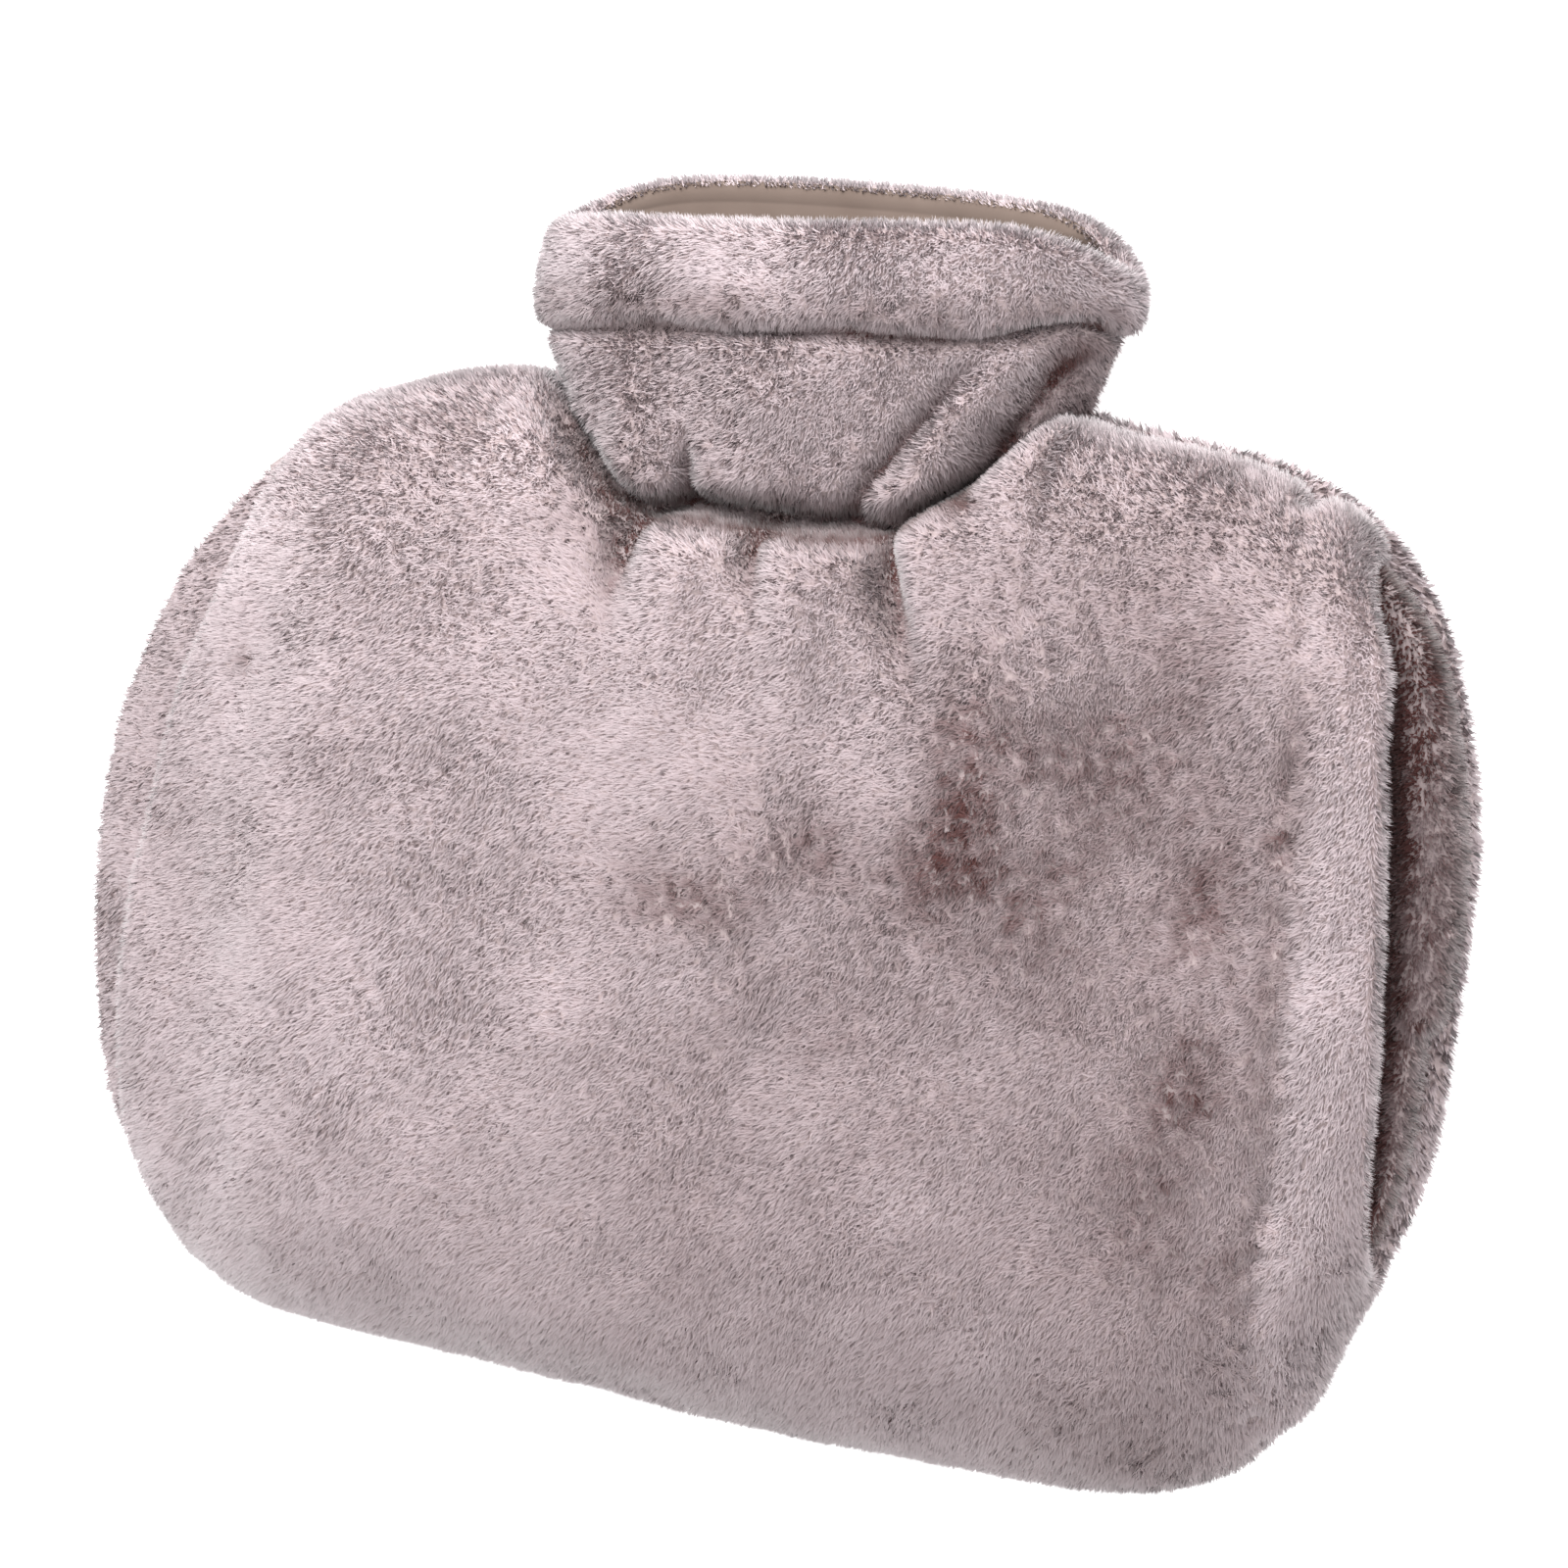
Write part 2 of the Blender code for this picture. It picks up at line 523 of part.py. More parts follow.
def collar_shell(front):
    place, height = collar_grid(FRONT_COLUMNS if front else BACK_COLUMNS)
    to_stitch = np.clip(height / HEM_START, 0.0, 1.0)
    half = NECK_HALF + (RIM_HALF - NECK_HALF) * to_stitch
    proud = collar_profile(height)
    x = place * half
    z = collar_section(x, half, height, front)
    start = neck_line(x + NECK_X, front)
    end = RIM_Y - z * RIM_TILT + RIM_SLOPE * x - RIM_ROUND * place ** RIM_ROUND_POWER
    if front:
        end = end + z / RIM_FRONT * (FRONT_LIFT + FRONT_SLOPE * x)
    stitch = end - HEM_DEPTH
    stitch = stitch + HEM_RIGHT_LIFT * smooth((place - HEM_RIGHT_START) / (1.0 - HEM_RIGHT_START))
    y = start + (stitch - start) * to_stitch + (end - stitch) * hem_share(height)
    # the first stretch rises straight from the neck
    x[1] = x[0]
    z[1] = z[0]
    outward = np.sqrt(np.clip(1.0 - place ** 2, 0.0, 1.0))
    side = 1.0 if front else -1.0
    x = x + NECK_X + proud * place
    z = SEAM_Z + side * SEAM_GAP / 2.0 + z + side * proud * outward
    # the last stretch at each side seam runs straight down to it
    z[:, 0] = SEAM_Z + side * SEAM_GAP / 2.0
    z[:, -1] = SEAM_Z + side * SEAM_GAP / 2.0
    x[:, 1] = x[:, 0]
    x[:, -2] = x[:, -1]
    y[:, 1] = y[:, 0]
    y[:, -2] = y[:, -1]
    points = hang(np.stack([x, y, z], axis=-1))
    thinner = RIM_THIN * smooth((height - RIM_THIN_START) / (1.0 - RIM_THIN_START))
    thick = smooth((height - HEM_START) / HEM_FADE) * (1.0 - thinner)
    thick = thick * smooth((1.0 - np.abs(place)) / SIDE_THINNER)
    faces = grid_faces(*height.shape)
    return points, faces if front else faces[:, ::-1], thick


def neck_line(x, front):
    """Where the collar's lower edge runs, just past the body's own edge."""
    dip = neck_dip(x) if front else BACK_DIP * gathered(x)
    return outline_y(x, True) - dip + NECK_GAP


def make_collar(front):
    points, faces, thick = collar_shell(front)
    name = "collar_front" if front else "collar_back"
    return sheet(name, points.reshape(-1, 3), faces, COLLAR_HEM, CLOTH / COLLAR_HEM, thick)


def main():
    for item in list(bpy.data.objects):
        bpy.data.objects.remove(item)
    cover = bpy.data.collections.new(COVER_NAME)
    bpy.context.scene.collection.children.link(cover)
    make_back_panel()
    make_inner_panel()
    make_muff_panel()
    make_collar(True)
    make_collar(False)


main()
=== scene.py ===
import bpy
import numpy as np
from mathutils import Matrix, Vector


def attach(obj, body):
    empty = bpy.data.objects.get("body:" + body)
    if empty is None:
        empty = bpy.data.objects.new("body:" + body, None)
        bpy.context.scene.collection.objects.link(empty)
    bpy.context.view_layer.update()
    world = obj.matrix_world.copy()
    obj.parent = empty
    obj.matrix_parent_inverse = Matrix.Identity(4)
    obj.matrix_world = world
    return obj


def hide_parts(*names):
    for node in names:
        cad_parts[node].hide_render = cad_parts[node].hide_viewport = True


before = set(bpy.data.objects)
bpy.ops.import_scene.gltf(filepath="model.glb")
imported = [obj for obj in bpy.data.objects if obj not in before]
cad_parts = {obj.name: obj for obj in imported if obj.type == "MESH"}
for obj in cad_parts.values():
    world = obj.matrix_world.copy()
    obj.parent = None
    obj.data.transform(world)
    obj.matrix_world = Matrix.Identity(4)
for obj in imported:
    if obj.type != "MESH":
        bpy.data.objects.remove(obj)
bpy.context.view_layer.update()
print("frame loaded")

mm = 0.001
turnSteps = 9           # places along the half circle where cloth folds over, with both its ends
insideFold = 1.5        # marks the rows that have come back inside a fold, past the half turn's 1

# the body seen face on: a quarter oval for each corner, as the maker cuts it
body = {
    "upperRight": (142.4, 105.0, 3.4),      # half width, half height, squareness
    "upperLeft": (145.6, 105.0, 2.3),
    "lowerLeft": (145.6, 105.0, 3.1),
    "lowerRight": (142.4, 105.0, 3.1),
    "droopLeft": 8.0, "droopRight": 9.5,    # how far the lower corners hang
    "droop": (38.0, 78.0),      # where the droop starts, to each side, and its reach
    "droopTop": 50.0, "droopFull": 100.0,       # where it starts above the middle, and is full below it
    "lean": 0.04, "placeX": 1.96, "placeY": -17.17,
    "seamHeight": 28.0, "seamGap": 0.3, "skirt": 4.0,
    "backFlat": 0.55, "backRound": 2.2,
}
neck = {
    "x": 3.0, "half": 54.0, "gatherHalf": 31.0,
    "dipLeft": (21.0, 60.0), "dipRight": (31.0, 54.0),      # where the drawn-in line starts to rise, and ends
    "gatherDip": 25.0, "backDip": 9.0,
    "pit": (-28.0, 9.0), "pitDip": 1.5, "tuck": (35.0, 7.0), "tuckDip": -6.0,       # place and width, depth
    "front": 20.0, "back": 20.0, "backTurn": 1.5,
    "frontGap": -3.5, "backGap": 0.9, "fall": 0.6,
}
# the cloth: how far its ground lies below the pile's tips, its thickness, how far it is turned in at a seam,
# and how many times its normals are calmed
cloth = {"inset": 1.5, "thick": 1.4, "tuck": 3.5, "calming": 14}


def smooth(t):
    # 3 t^2 - 2 t^3 between 0 and 1
    t = np.clip(t, 0.0, 1.0)
    return t * t * (3.0 - 2.0 * t)


def bump(t):
    # e^(-t^2): 1 at its middle, and nearly 0 two widths away
    return np.exp(-t * t)


def ramp(x, place):
    # 0 up to where the place starts, then smoothly up to 1 over its reach
    start, reach = place
    return smooth((x - start) / reach)


def hump(x, place):
    # 1 at the place's middle, and down to 0 on both sides by its width
    middle, width = place
    return bump((x - middle) / width)


def unit(v):
    # each vector over its own length
    return v / np.maximum(np.linalg.norm(v, axis=-1, keepdims=True), 1e-9)


def squareTo(v, normal):
    # the part of v at right angles to the normal, v - (v . n) n, as a unit vector
    return unit(v - (v * normal).sum(-1, keepdims=True) * normal)


def waves(points, length, seed, count=14):
    # a soft random field: the sum of cosines along random directions, about `length` mm from crest to crest
    draw = np.random.default_rng(seed)
    way = unit(draw.normal(size=(count, 3))) * 2.0 * np.pi / (length * draw.uniform(0.75, 1.35, (count, 1)))
    phase = draw.uniform(0.0, 2.0 * np.pi, count)
    return np.cos(points @ way.T + phase).sum(-1) * np.sqrt(2.0 / count)


def quarter(x, y):
    # the half width, half height and squareness of the corner that holds (x, y)
    table = np.array([body[k] for k in ("upperRight", "upperLeft", "lowerLeft", "lowerRight")])
    corner = np.where(y > 0, np.where(x > 0, 0, 1), np.where(x > 0, 3, 2))
    return table[corner, 0], table[corner, 1], table[corner, 2]


def outlineRadius(angle):
    # superellipse: (|cos|/w)^n + (|sin|/h)^n = r^-n
    w, h, n = quarter(np.cos(angle), np.sin(angle))
    return ((np.abs(np.cos(angle)) / w) ** n + (np.abs(np.sin(angle)) / h) ** n) ** (-1.0 / n)


def outlineY(x, upper):
    # the same oval solved for y: h (1 - (|x| / w)^n)^(1 / n)
    side = np.ones_like(x) if upper else -np.ones_like(x)
    w, h, n = quarter(x, side)
    return side * h * np.clip(1.0 - (np.abs(x) / w) ** n, 0.0, 1.0) ** (1.0 / n)


def fromNeck(x):
    # distance from the neck's middle
    return np.abs(x - neck["x"])


def gathered(x):
    # 1 across the neck, then down to 0 between the two distances given for each side
    left = x < neck["x"]
    start, end = (np.where(left, neck["dipLeft"][k], neck["dipRight"][k]) for k in (0, 1))
    return 1.0 - smooth((fromNeck(x) - start) / (end - start))


def neckDip(x):
    # how far the gathered line lies below the oval: its own dip, a pit on the left and a tuck on the right
    across = x - neck["x"]
    dents = neck["pitDip"] * hump(across, neck["pit"]) + neck["tuckDip"] * hump(across, neck["tuck"])
    return neck["gatherDip"] * gathered(x) + dents


def roundedEnd(reach, half, turn):
    # 1, then a quarter circle down to 0
    return np.sqrt(1.0 - np.clip((reach - half + turn) / turn, 0.0, 1.0) ** 2)


def neckShape(reach, half):
    # 1 across the gathered middle, then (1 - t)^fall down to 0 at the side seam
    away = np.clip((reach - neck["gatherHalf"]) / (half - neck["gatherHalf"]), 0.0, 1.0)
    return (1.0 - away) ** neck["fall"]


# where the soft cover has settled out of its oval: x, y, reach, moved across, moved along
settled = (
    (-118.0, 58.0, 24.0, 1.6, 0.0),
    (-139.0, 34.0, 15.0, 1.5, -0.2),
    (-98.0, 88.0, 26.0, -0.6, 1.8),
    (-84.0, 94.0, 14.0, 0.0, 1.3),
    (-48.0, 100.0, 16.0, 0.0, -2.0),
    (-137.0, -62.0, 14.0, -0.5, 0.0),
    (-121.0, -82.0, 13.0, 1.7, 1.5),
    (-145.0, -15.0, 34.0, -0.8, 0.0),
    (66.0, 98.0, 26.0, 0.0, -2.8),
    (139.0, 56.0, 20.0, -2.2, 0.0),
    (126.0, 76.0, 14.0, -0.7, -0.4),
    (143.0, -12.0, 20.0, 0.4, 0.0),
    (136.0, -54.0, 17.0, -3.6, 0.0),
    (120.0, -84.0, 16.0, 0.0, -1.5),
    (76.0, -100.0, 17.0, 0.0, 2.1),
    (40.0, -105.0, 13.0, 0.0, -1.1),
    (-6.0, -105.0, 18.0, 0.0, 1.2),
    (-36.0, -105.0, 16.0, 0.0, 0.5),
    (110.0, 86.0, 24.0, 0.5, 0.4),
)


def hang(points):
    # each settled place moves by its bump; the lower corners hang below the bottom edge's middle, and the
    # whole cover leans a little
    x, y, z = (points[..., k] for k in range(3))
    flatX, flatY = x, y
    for atX, atY, reach, across, along in settled:
        near = bump(np.hypot(flatX - atX, flatY - atY) / reach)
        x, y = x + across * near, y + along * near
    low = smooth((body["droopTop"] - y) / (body["droopTop"] + body["droopFull"]))
    left = body["droopLeft"] * ramp(-x, body["droop"])
    right = body["droopRight"] * ramp(x, body["droop"])
    return np.stack([x + body["lean"] * y + body["placeX"], y - low * (left + right) + body["placeY"], z], -1)


def dome(out, flat, turn):
    # (1 - |out|^flat)^turn: 1 in the middle, 0 at the edge
    return np.clip(1.0 - np.abs(out) ** flat, 0.0, 1.0) ** turn


def gridNormals(points, flip=1.0):
    # cross product of the grid's two directions
    along = np.gradient(points, axis=0)
    across = np.gradient(points, axis=1)
    return unit(np.cross(across, along)) * flip


def calmed(field, rounds, ring=False):
    # each value becomes the mean of itself and its neighbours, again and again
    for _ in range(rounds):
        wide = np.pad(field, ((1, 1), (0, 0), (0, 0)), "edge")
        wide = np.pad(wide, ((0, 0), (1, 1), (0, 0)), "wrap" if ring else "edge")
        field = (2.0 * field + wide[:-2, 1:-1] + wide[2:, 1:-1] + wide[1:-1, :-2] + wide[1:-1, 2:]) / 6.0
    return field


def layDown(points, normals, relief, normalsOf, ring=False):
    # the pile's surface with its relief, and below it the cloth: surface - inset x calmed normal, so that the
    # walls of a narrow fold don't pass through each other
    surface = points + normals * relief[..., None]
    normals = normalsOf(surface)
    return surface - unit(calmed(normals, cloth["calming"], ring)) * cloth["inset"], normals


def gridFaces(rows, columns):
    # four corners for each cell of the grid
    c = np.arange(rows * columns).reshape(rows, columns)
    return np.stack([c[:-1, :-1], c[:-1, 1:], c[1:, 1:], c[1:, :-1]], -1).reshape(-1, 4)


def halfTurn(points, normals, radius, depth, step):
    # The last row goes on round a half circle, edge + r (sin a t + (cos a - 1) n). Returns these rows, how
    # many rows lie within `depth` of the edge, and how far round each row has turned, with those inside.
    edge, n = points[-1], normals[-1]
    t = squareTo(edge - points[-1 - step], n)
    angle = np.linspace(0.0, np.pi, turnSteps)[1:, None, None]
    turn = edge + radius * (np.sin(angle) * t + (np.cos(angle) - 1.0) * n)
    gone = np.cumsum(np.linalg.norm(np.diff(points[::-1], axis=0), axis=-1).mean(1))
    count = int((gone < depth).sum())
    turned = [np.zeros(len(points)), angle[:, 0, 0] / np.pi, np.full(count, insideFold)]
    return turn, count, np.concatenate(turned)


def foldOver(points, normals, radius, depth):
    # round the half circle and back inside, 2 r below the rows it passes
    turn, count, turned = halfTurn(points, normals, radius, depth, 1)
    under = (points - 2.0 * radius * normals)[-2:-2 - count:-1]
    return np.concatenate([points, turn, under]), turned


def makeMesh(name, points, faces, normals=None, smoothShade=True):
    # a mesh from whole arrays, with its own shading normals where they are given
    mesh = bpy.data.meshes.new(name)
    corners = faces.shape[1]
    mesh.vertices.add(len(points))
    mesh.vertices.foreach_set("co", (points * mm).astype(np.float32).ravel())
    mesh.loops.add(faces.size)
    mesh.loops.foreach_set("vertex_index", faces.astype(np.int32).ravel())
    mesh.polygons.add(len(faces))
    mesh.polygons.foreach_set("loop_start", np.arange(0, faces.size, corners, dtype=np.int32))
    mesh.update(calc_edges=True)
    mesh.validate()
    if smoothShade:
        mesh.shade_smooth()
    if normals is not None:
        mesh.normals_split_custom_set_from_vertices(normals.astype(np.float32))
    piece = bpy.data.objects.new(name, mesh)
    bpy.context.scene.collection.objects.link(piece)
    return piece


def addAttribute(piece, name, values):
    # one number for each point, for the material to read
    attribute = piece.data.attributes.new(name, "FLOAT", "POINT")
    attribute.data.foreach_set("value", values.astype(np.float32).ravel())


def hexLinear(code):
    # sRGB hex to linear: ((c + 0.055) / 1.055)^2.4
    c = np.array([int(code[k:k + 2], 16) for k in (1, 3, 5)]) / 255.0
    return tuple(np.where(c > 0.04045, ((c + 0.055) / 1.055) ** 2.4, c / 12.92)) + (1.0,)


def addNode(tree, kind, settings=None, links=None):
    # a setting is a socket's number where the node has such a socket, and otherwise the node's own property
    node = tree.nodes.new(kind)
    for key, value in (settings or {}).items():
        if key in node.inputs.keys() or isinstance(key, int):
            node.inputs[key].default_value = value
        else:
            setattr(node, key, value)
    for key, source in (links or {}).items():
        tree.links.new(source, node.inputs[key])
    return node


def mixColours(tree, share, low, high):
    # low where the share is 0 and high where it is 1, each a hex code or another node's colour
    settings, links = {"data_type": "RGBA"}, {0: share}
    for socket, colour in ((6, low), (7, high)):
        if isinstance(colour, str):
            settings[socket] = hexLinear(colour)
        else:
            links[socket] = colour
    return addNode(tree, "ShaderNodeMix", settings, links).outputs[2]


def addNoise(tree, place, size, detail):
    # soft noise whose spots are about `size` mm apart
    settings = {"Scale": 1.0 / (size * mm), "Detail": detail}
    return addNode(tree, "ShaderNodeTexNoise", settings, {"Vector": place}).outputs["Fac"]


def onPiece(tree):
    # the place of each point on its own object
    return addNode(tree, "ShaderNodeTexCoord").outputs["Object"]


def newMaterial(name):
    # a material with an empty tree
    material = bpy.data.materials.new(name)
    material.use_nodes = True
    tree = material.node_tree
    tree.nodes.clear()
    return material, tree


def addSurface(tree, look, links, extra=None):
    # the shader with the roughness, sheen and gloss that the look gives, and the material's output
    settings = {"Roughness": look["roughness"], "Sheen Weight": look["sheen"],
                "Specular IOR Level": look["gloss"], **(extra or {})}
    shader = addNode(tree, "ShaderNodeBsdfPrincipled", settings, links)
    addNode(tree, "ShaderNodeOutputMaterial", links={"Surface": shader.outputs[0]})


plush = {
    # the root is darker than the tip as painted shade deep within the pile
    "tip": "#f0e0e4", "root": "#dac8cb", "deep": "#68423f",
    "patchSize": 50.0, "patchDetail": 3.0,      # soft patches, in mm, where the pile lies another way
    "patchFrom": 0.35, "patchTo": 0.65, "patchDepth": 0.12, "rest": 0.18,
    "roughness": 0.92, "sheen": 0.6, "sheenRoughness": 0.5, "gloss": 0.1,
}
ground = {
    "low": "#b8a5a5", "high": "#d2c2c2", "grainSize": 1.6, "grainDetail": 3.0,
    "reliefStrength": 0.5, "reliefDepth": 0.8,
    "roughness": 0.95, "sheen": 0.2, "gloss": 0.1,
}
backing = {
    "low": "#73635a", "high": "#8b7b72", "mottleSize": 12.0, "mottleDetail": 4.0,
    "rippleGap": 9.55, "rippleDistortion": 1.5, "rippleDetail": 2.0,
    "reliefStrength": 0.25, "reliefDepth": 0.4,
    "deep": "#3a2d27", "mouthShadeShare": 0.8,        # painted shade inside the mouth
    "mouthShadeWay": (-0.07, 1.0, 0.0), "mouthShadeFrom": 0.1135, "mouthShadeTo": 0.1105,
    "roughness": 0.85, "sheen": 0.1, "gloss": 0.2,
}


def plushPile():
    # polyester faux-fur plush, sheared short and brushed: light dull tips over a warm root made darker as
    # painted shade deep in the pile, no gloss but the soft sheen of fine fibres, in patches where it lies
    # another way
    material, tree = newMaterial("fauxFurPile")
    place = onPiece(tree)
    along = addNode(tree, "ShaderNodeAttribute", {"attribute_name": "alongPile"}).outputs["Fac"]
    shade = addNode(tree, "ShaderNodeAttribute", {"attribute_name": "pileToneAndPaintedShade"}).outputs["Fac"]
    patches = addNoise(tree, place, plush["patchSize"], plush["patchDetail"])
    fibre = mixColours(tree, along, plush["root"], plush["tip"])
    span = {"From Min": plush["patchFrom"], "From Max": plush["patchTo"],
            "To Min": -plush["patchDepth"] / 2.0, "To Max": plush["patchDepth"] / 2.0}
    spread = addNode(tree, "ShaderNodeMapRange", span, {"Value": patches}).outputs[0]
    level = addNode(tree, "ShaderNodeMath", {"operation": "ADD"}, {0: spread, 1: shade}).outputs[0]
    added = {"operation": "ADD", "use_clamp": True, 1: plush["rest"]}
    dark = addNode(tree, "ShaderNodeMath", added, {0: level}).outputs[0]
    # each blade's share of the deep colour holds its tone and nap and its painted shade
    colour = mixColours(tree, dark, fibre, plush["deep"])
    addSurface(tree, plush, {"Base Color": colour}, {"Sheen Roughness": plush["sheenRoughness"]})
    return material


def plushGround():
    # the knitted ground below the pile, seen only between the locks
    material, tree = newMaterial("plushGround")
    place = onPiece(tree)
    grain = addNoise(tree, place, ground["grainSize"], ground["grainDetail"])
    colour = mixColours(tree, grain, ground["low"], ground["high"])
    relief = {"Strength": ground["reliefStrength"], "Distance": ground["reliefDepth"] * mm}
    raised = addNode(tree, "ShaderNodeBump", relief, {"Height": grain}).outputs[0]
    addSurface(tree, ground, {"Base Color": colour, "Normal": raised})
    return material


def knittedBacking():
    # the cloth's reverse: a fine knit in taupe, smoother than the pile, with faint ripples, a soft mottle and
    # painted shade deep in the mouth
    material, tree = newMaterial("knittedBacking")
    place = onPiece(tree)
    # a wave texture's crests lie pi / (10 scale) apart
    ripple = {"bands_direction": "X", "Scale": np.pi / 10.0 / (backing["rippleGap"] * mm),
              "Distortion": backing["rippleDistortion"], "Detail": backing["rippleDetail"]}
    ripples = addNode(tree, "ShaderNodeTexWave", ripple, {"Vector": place}).outputs["Fac"]
    mottle = addNoise(tree, place, backing["mottleSize"], backing["mottleDetail"])
    colour = mixColours(tree, mottle, backing["low"], backing["high"])
    # painted shade: the mouth darkens below a line that rises with the front rim, where its inside lies in
    # its own shade
    way = {"operation": "DOT_PRODUCT", 1: backing["mouthShadeWay"]}
    reach = addNode(tree, "ShaderNodeVectorMath", way, {0: place}).outputs["Value"]
    span = {"interpolation_type": "SMOOTHSTEP", "From Min": backing["mouthShadeFrom"],
            "From Max": backing["mouthShadeTo"], "To Min": 0.0, "To Max": backing["mouthShadeShare"]}
    depth = addNode(tree, "ShaderNodeMapRange", span, {"Value": reach}).outputs[0]
    colour = mixColours(tree, depth, colour, backing["deep"])
    relief = {"Strength": backing["reliefStrength"], "Distance": backing["reliefDepth"] * mm}
    raised = addNode(tree, "ShaderNodeBump", relief, {"Height": ripples}).outputs[0]
    addSurface(tree, backing, {"Base Color": colour, "Normal": raised})
    return material


pileMaterial = plushPile()
groundMaterial = plushGround()
backingMaterial = knittedBacking()
print("materials made")

# how the pile's fibres stray and gather into locks: sizes in mm, pulls as shares of a blade's lean
locks = {
    "small": 3.0, "large": 22.0, "tallSize": 1.3, "calm": 0.25, "wild": 1.0, "stray": 0.45,
    "tall": (0.03, 0.15), "lengths": (0.8, 1.12), "liftSpread": 9.0, "spin": 0.6, "widths": (0.7, 1.3),
    "rootDepth": 0.2, "lowest": 0.15,       # mm below the ground, and above the floor
    "faceTurn": (0.2, 0.1, 1.2), "below": -0.3,     # turns faces to the light, but not below the cover
    "normalPull": (0.12, 0.30), "softness": 0.08,
    "mottle": 0.03, "speck": 0.20, "speckFrom": 0.9, "speckRest": 0.25, "tallShade": 0.15,
    "brushed": (-0.6, -0.8, 0.0), "wander": 0.3, "wanderSize": 60.0,
}


def makeSheet(name, points, flip, turned=None):
    # an open grid with its thickness on the inner side; rows turned in past the fold wear the knitted backing
    rows, columns = points.shape[:2]
    faces = gridFaces(rows, columns)
    if flip < 0:
        faces = faces[:, ::-1]
    piece = makeMesh(name, points.reshape(-1, 3), faces)
    piece.data.materials.append(groundMaterial)
    if turned is not None:
        piece.data.materials.append(backingMaterial)
        inside = np.repeat(turned[:-1] > 0.5, columns - 1)
        piece.data.polygons.foreach_set("material_index", inside.astype(np.int32))
    solid = piece.modifiers.new("clothThickness", "SOLIDIFY")
    solid.thickness = cloth["thick"] * mm
    solid.offset = -1.0
    return piece


def insideCell(values, row, column, a, b):
    # bilinear value inside a cell
    if values.ndim == 3:
        a, b = a[:, None], b[:, None]
    low = values[row, column] * (1.0 - b) + values[row, column + 1] * b
    high = values[row + 1, column] * (1.0 - b) + values[row + 1, column + 1] * b
    return low * (1.0 - a) + high * a


def growPile(name, grid, pile):
    # Blades on a grid: a cell is drawn with chance area x density, and a blade is a triangle from
    # root - w, root + w to tip = root + length (cos lift lean + sin lift normal). Locks pull their blades'
    # lean together, more where the nap is ruffled.
    draw = np.random.default_rng(pile["seed"])
    p = grid["points"]
    size = np.linalg.norm(np.cross(p[1:, :-1] - p[:-1, :-1], p[:-1, 1:] - p[:-1, :-1]), axis=-1)
    density = np.broadcast_to(grid["density"], p.shape[:2])
    chance = (size * density[:-1, :-1]).ravel()
    cell = draw.choice(len(chance), pile["count"], p=chance / chance.sum())
    row, column = np.divmod(cell, p.shape[1] - 1)
    a, b = draw.random((2, pile["count"]))

    def field(key):
        # one of the grid's fields at each blade's root
        return insideCell(np.broadcast_to(grid[key], p.shape[:2]), row, column, a, b)

    def lockWaves(length, numbers):
        # a field of waves for each of the three directions
        return np.stack([waves(root, length, pile["seed"] + k) for k in numbers], -1)

    root = insideCell(p, row, column, a, b)
    normal = unit(insideCell(grid["normals"], row, column, a, b))
    ruffled = field("ruffled")
    loose = ruffled[:, None]
    lean = insideCell(grid["lean"], row, column, a, b)
    lean = lean + draw.normal(size=lean.shape) * locks["stray"]
    fine = lockWaves(locks["small"], (1, 2, 3))
    broad = lockWaves(locks["large"], (4, 5, 6))
    lean = lean + (fine * (locks["calm"] + locks["wild"] * loose) + broad * locks["calm"])
    lean = squareTo(lean, normal)
    tall = waves(root, locks["small"] * locks["tallSize"], pile["seed"] + 7)
    length = field("length") * (1.0 + (locks["tall"][0] + locks["tall"][1] * ruffled) * tall)
    length = length * draw.uniform(*locks["lengths"], len(root))
    lift = np.radians(field("lift") + draw.normal(size=len(root)) * locks["liftSpread"])
    grow = lean * np.cos(lift)[:, None] + normal * np.sin(lift)[:, None]
    wide = unit(np.cross(grow, normal + 1e-6))
    spin = draw.normal(size=len(root)) * locks["spin"]
    wide = wide * np.cos(spin)[:, None] + np.cross(grow, wide) * np.sin(spin)[:, None]
    wide = wide * pile["width"] / 2.0 * draw.uniform(*locks["widths"], (len(root), 1))
    tip = root + grow * length[:, None]
    tip[:, 2] = np.maximum(tip[:, 2], locks["lowest"])
    foot = root - normal * locks["rootDepth"]
    points = np.stack([foot - wide, foot + wide, tip], 1)
    # a blade's face is the side that looks out of the cloth and, unless it is below the cover, to the light
    seen = normal + np.array(locks["faceTurn"]) * (normal[:, 2:] > locks["below"])
    away = (np.cross(points[:, 1] - points[:, 0], points[:, 2] - points[:, 0]) * seen).sum(-1) < 0
    points[away, 0], points[away, 1] = points[away, 1].copy(), points[away, 0].copy()
    # shading normals near the cloth's own keep the pile soft
    pull = locks["normalPull"][0] + locks["normalPull"][1] * loose
    soft = unit(normal + pull * grow + locks["softness"] * draw.normal(size=normal.shape))
    corners = np.arange(len(root) * 3).reshape(-1, 3)
    piece = makeMesh(name, points.reshape(-1, 3), corners, np.repeat(soft, 3, 0))
    # small dark specks where the locks part
    speck = smooth(fine[:, 0] - locks["speckFrom"]) * (locks["speckRest"] + ruffled)
    # the blade's share of the deep colour: the grid's nap and painted shade, its specks and a random mottle
    shade = field("dark") * (1.0 + locks["tallShade"] * tall) + locks["speck"] * speck
    shade = shade + draw.normal(size=len(root)) * locks["mottle"]
    addAttribute(piece, "alongPile", np.tile([0.0, 0.0, 1.0], len(root)))
    addAttribute(piece, "pileToneAndPaintedShade", np.repeat(shade, 3))
    piece.data.materials.append(pileMaterial)
    return piece


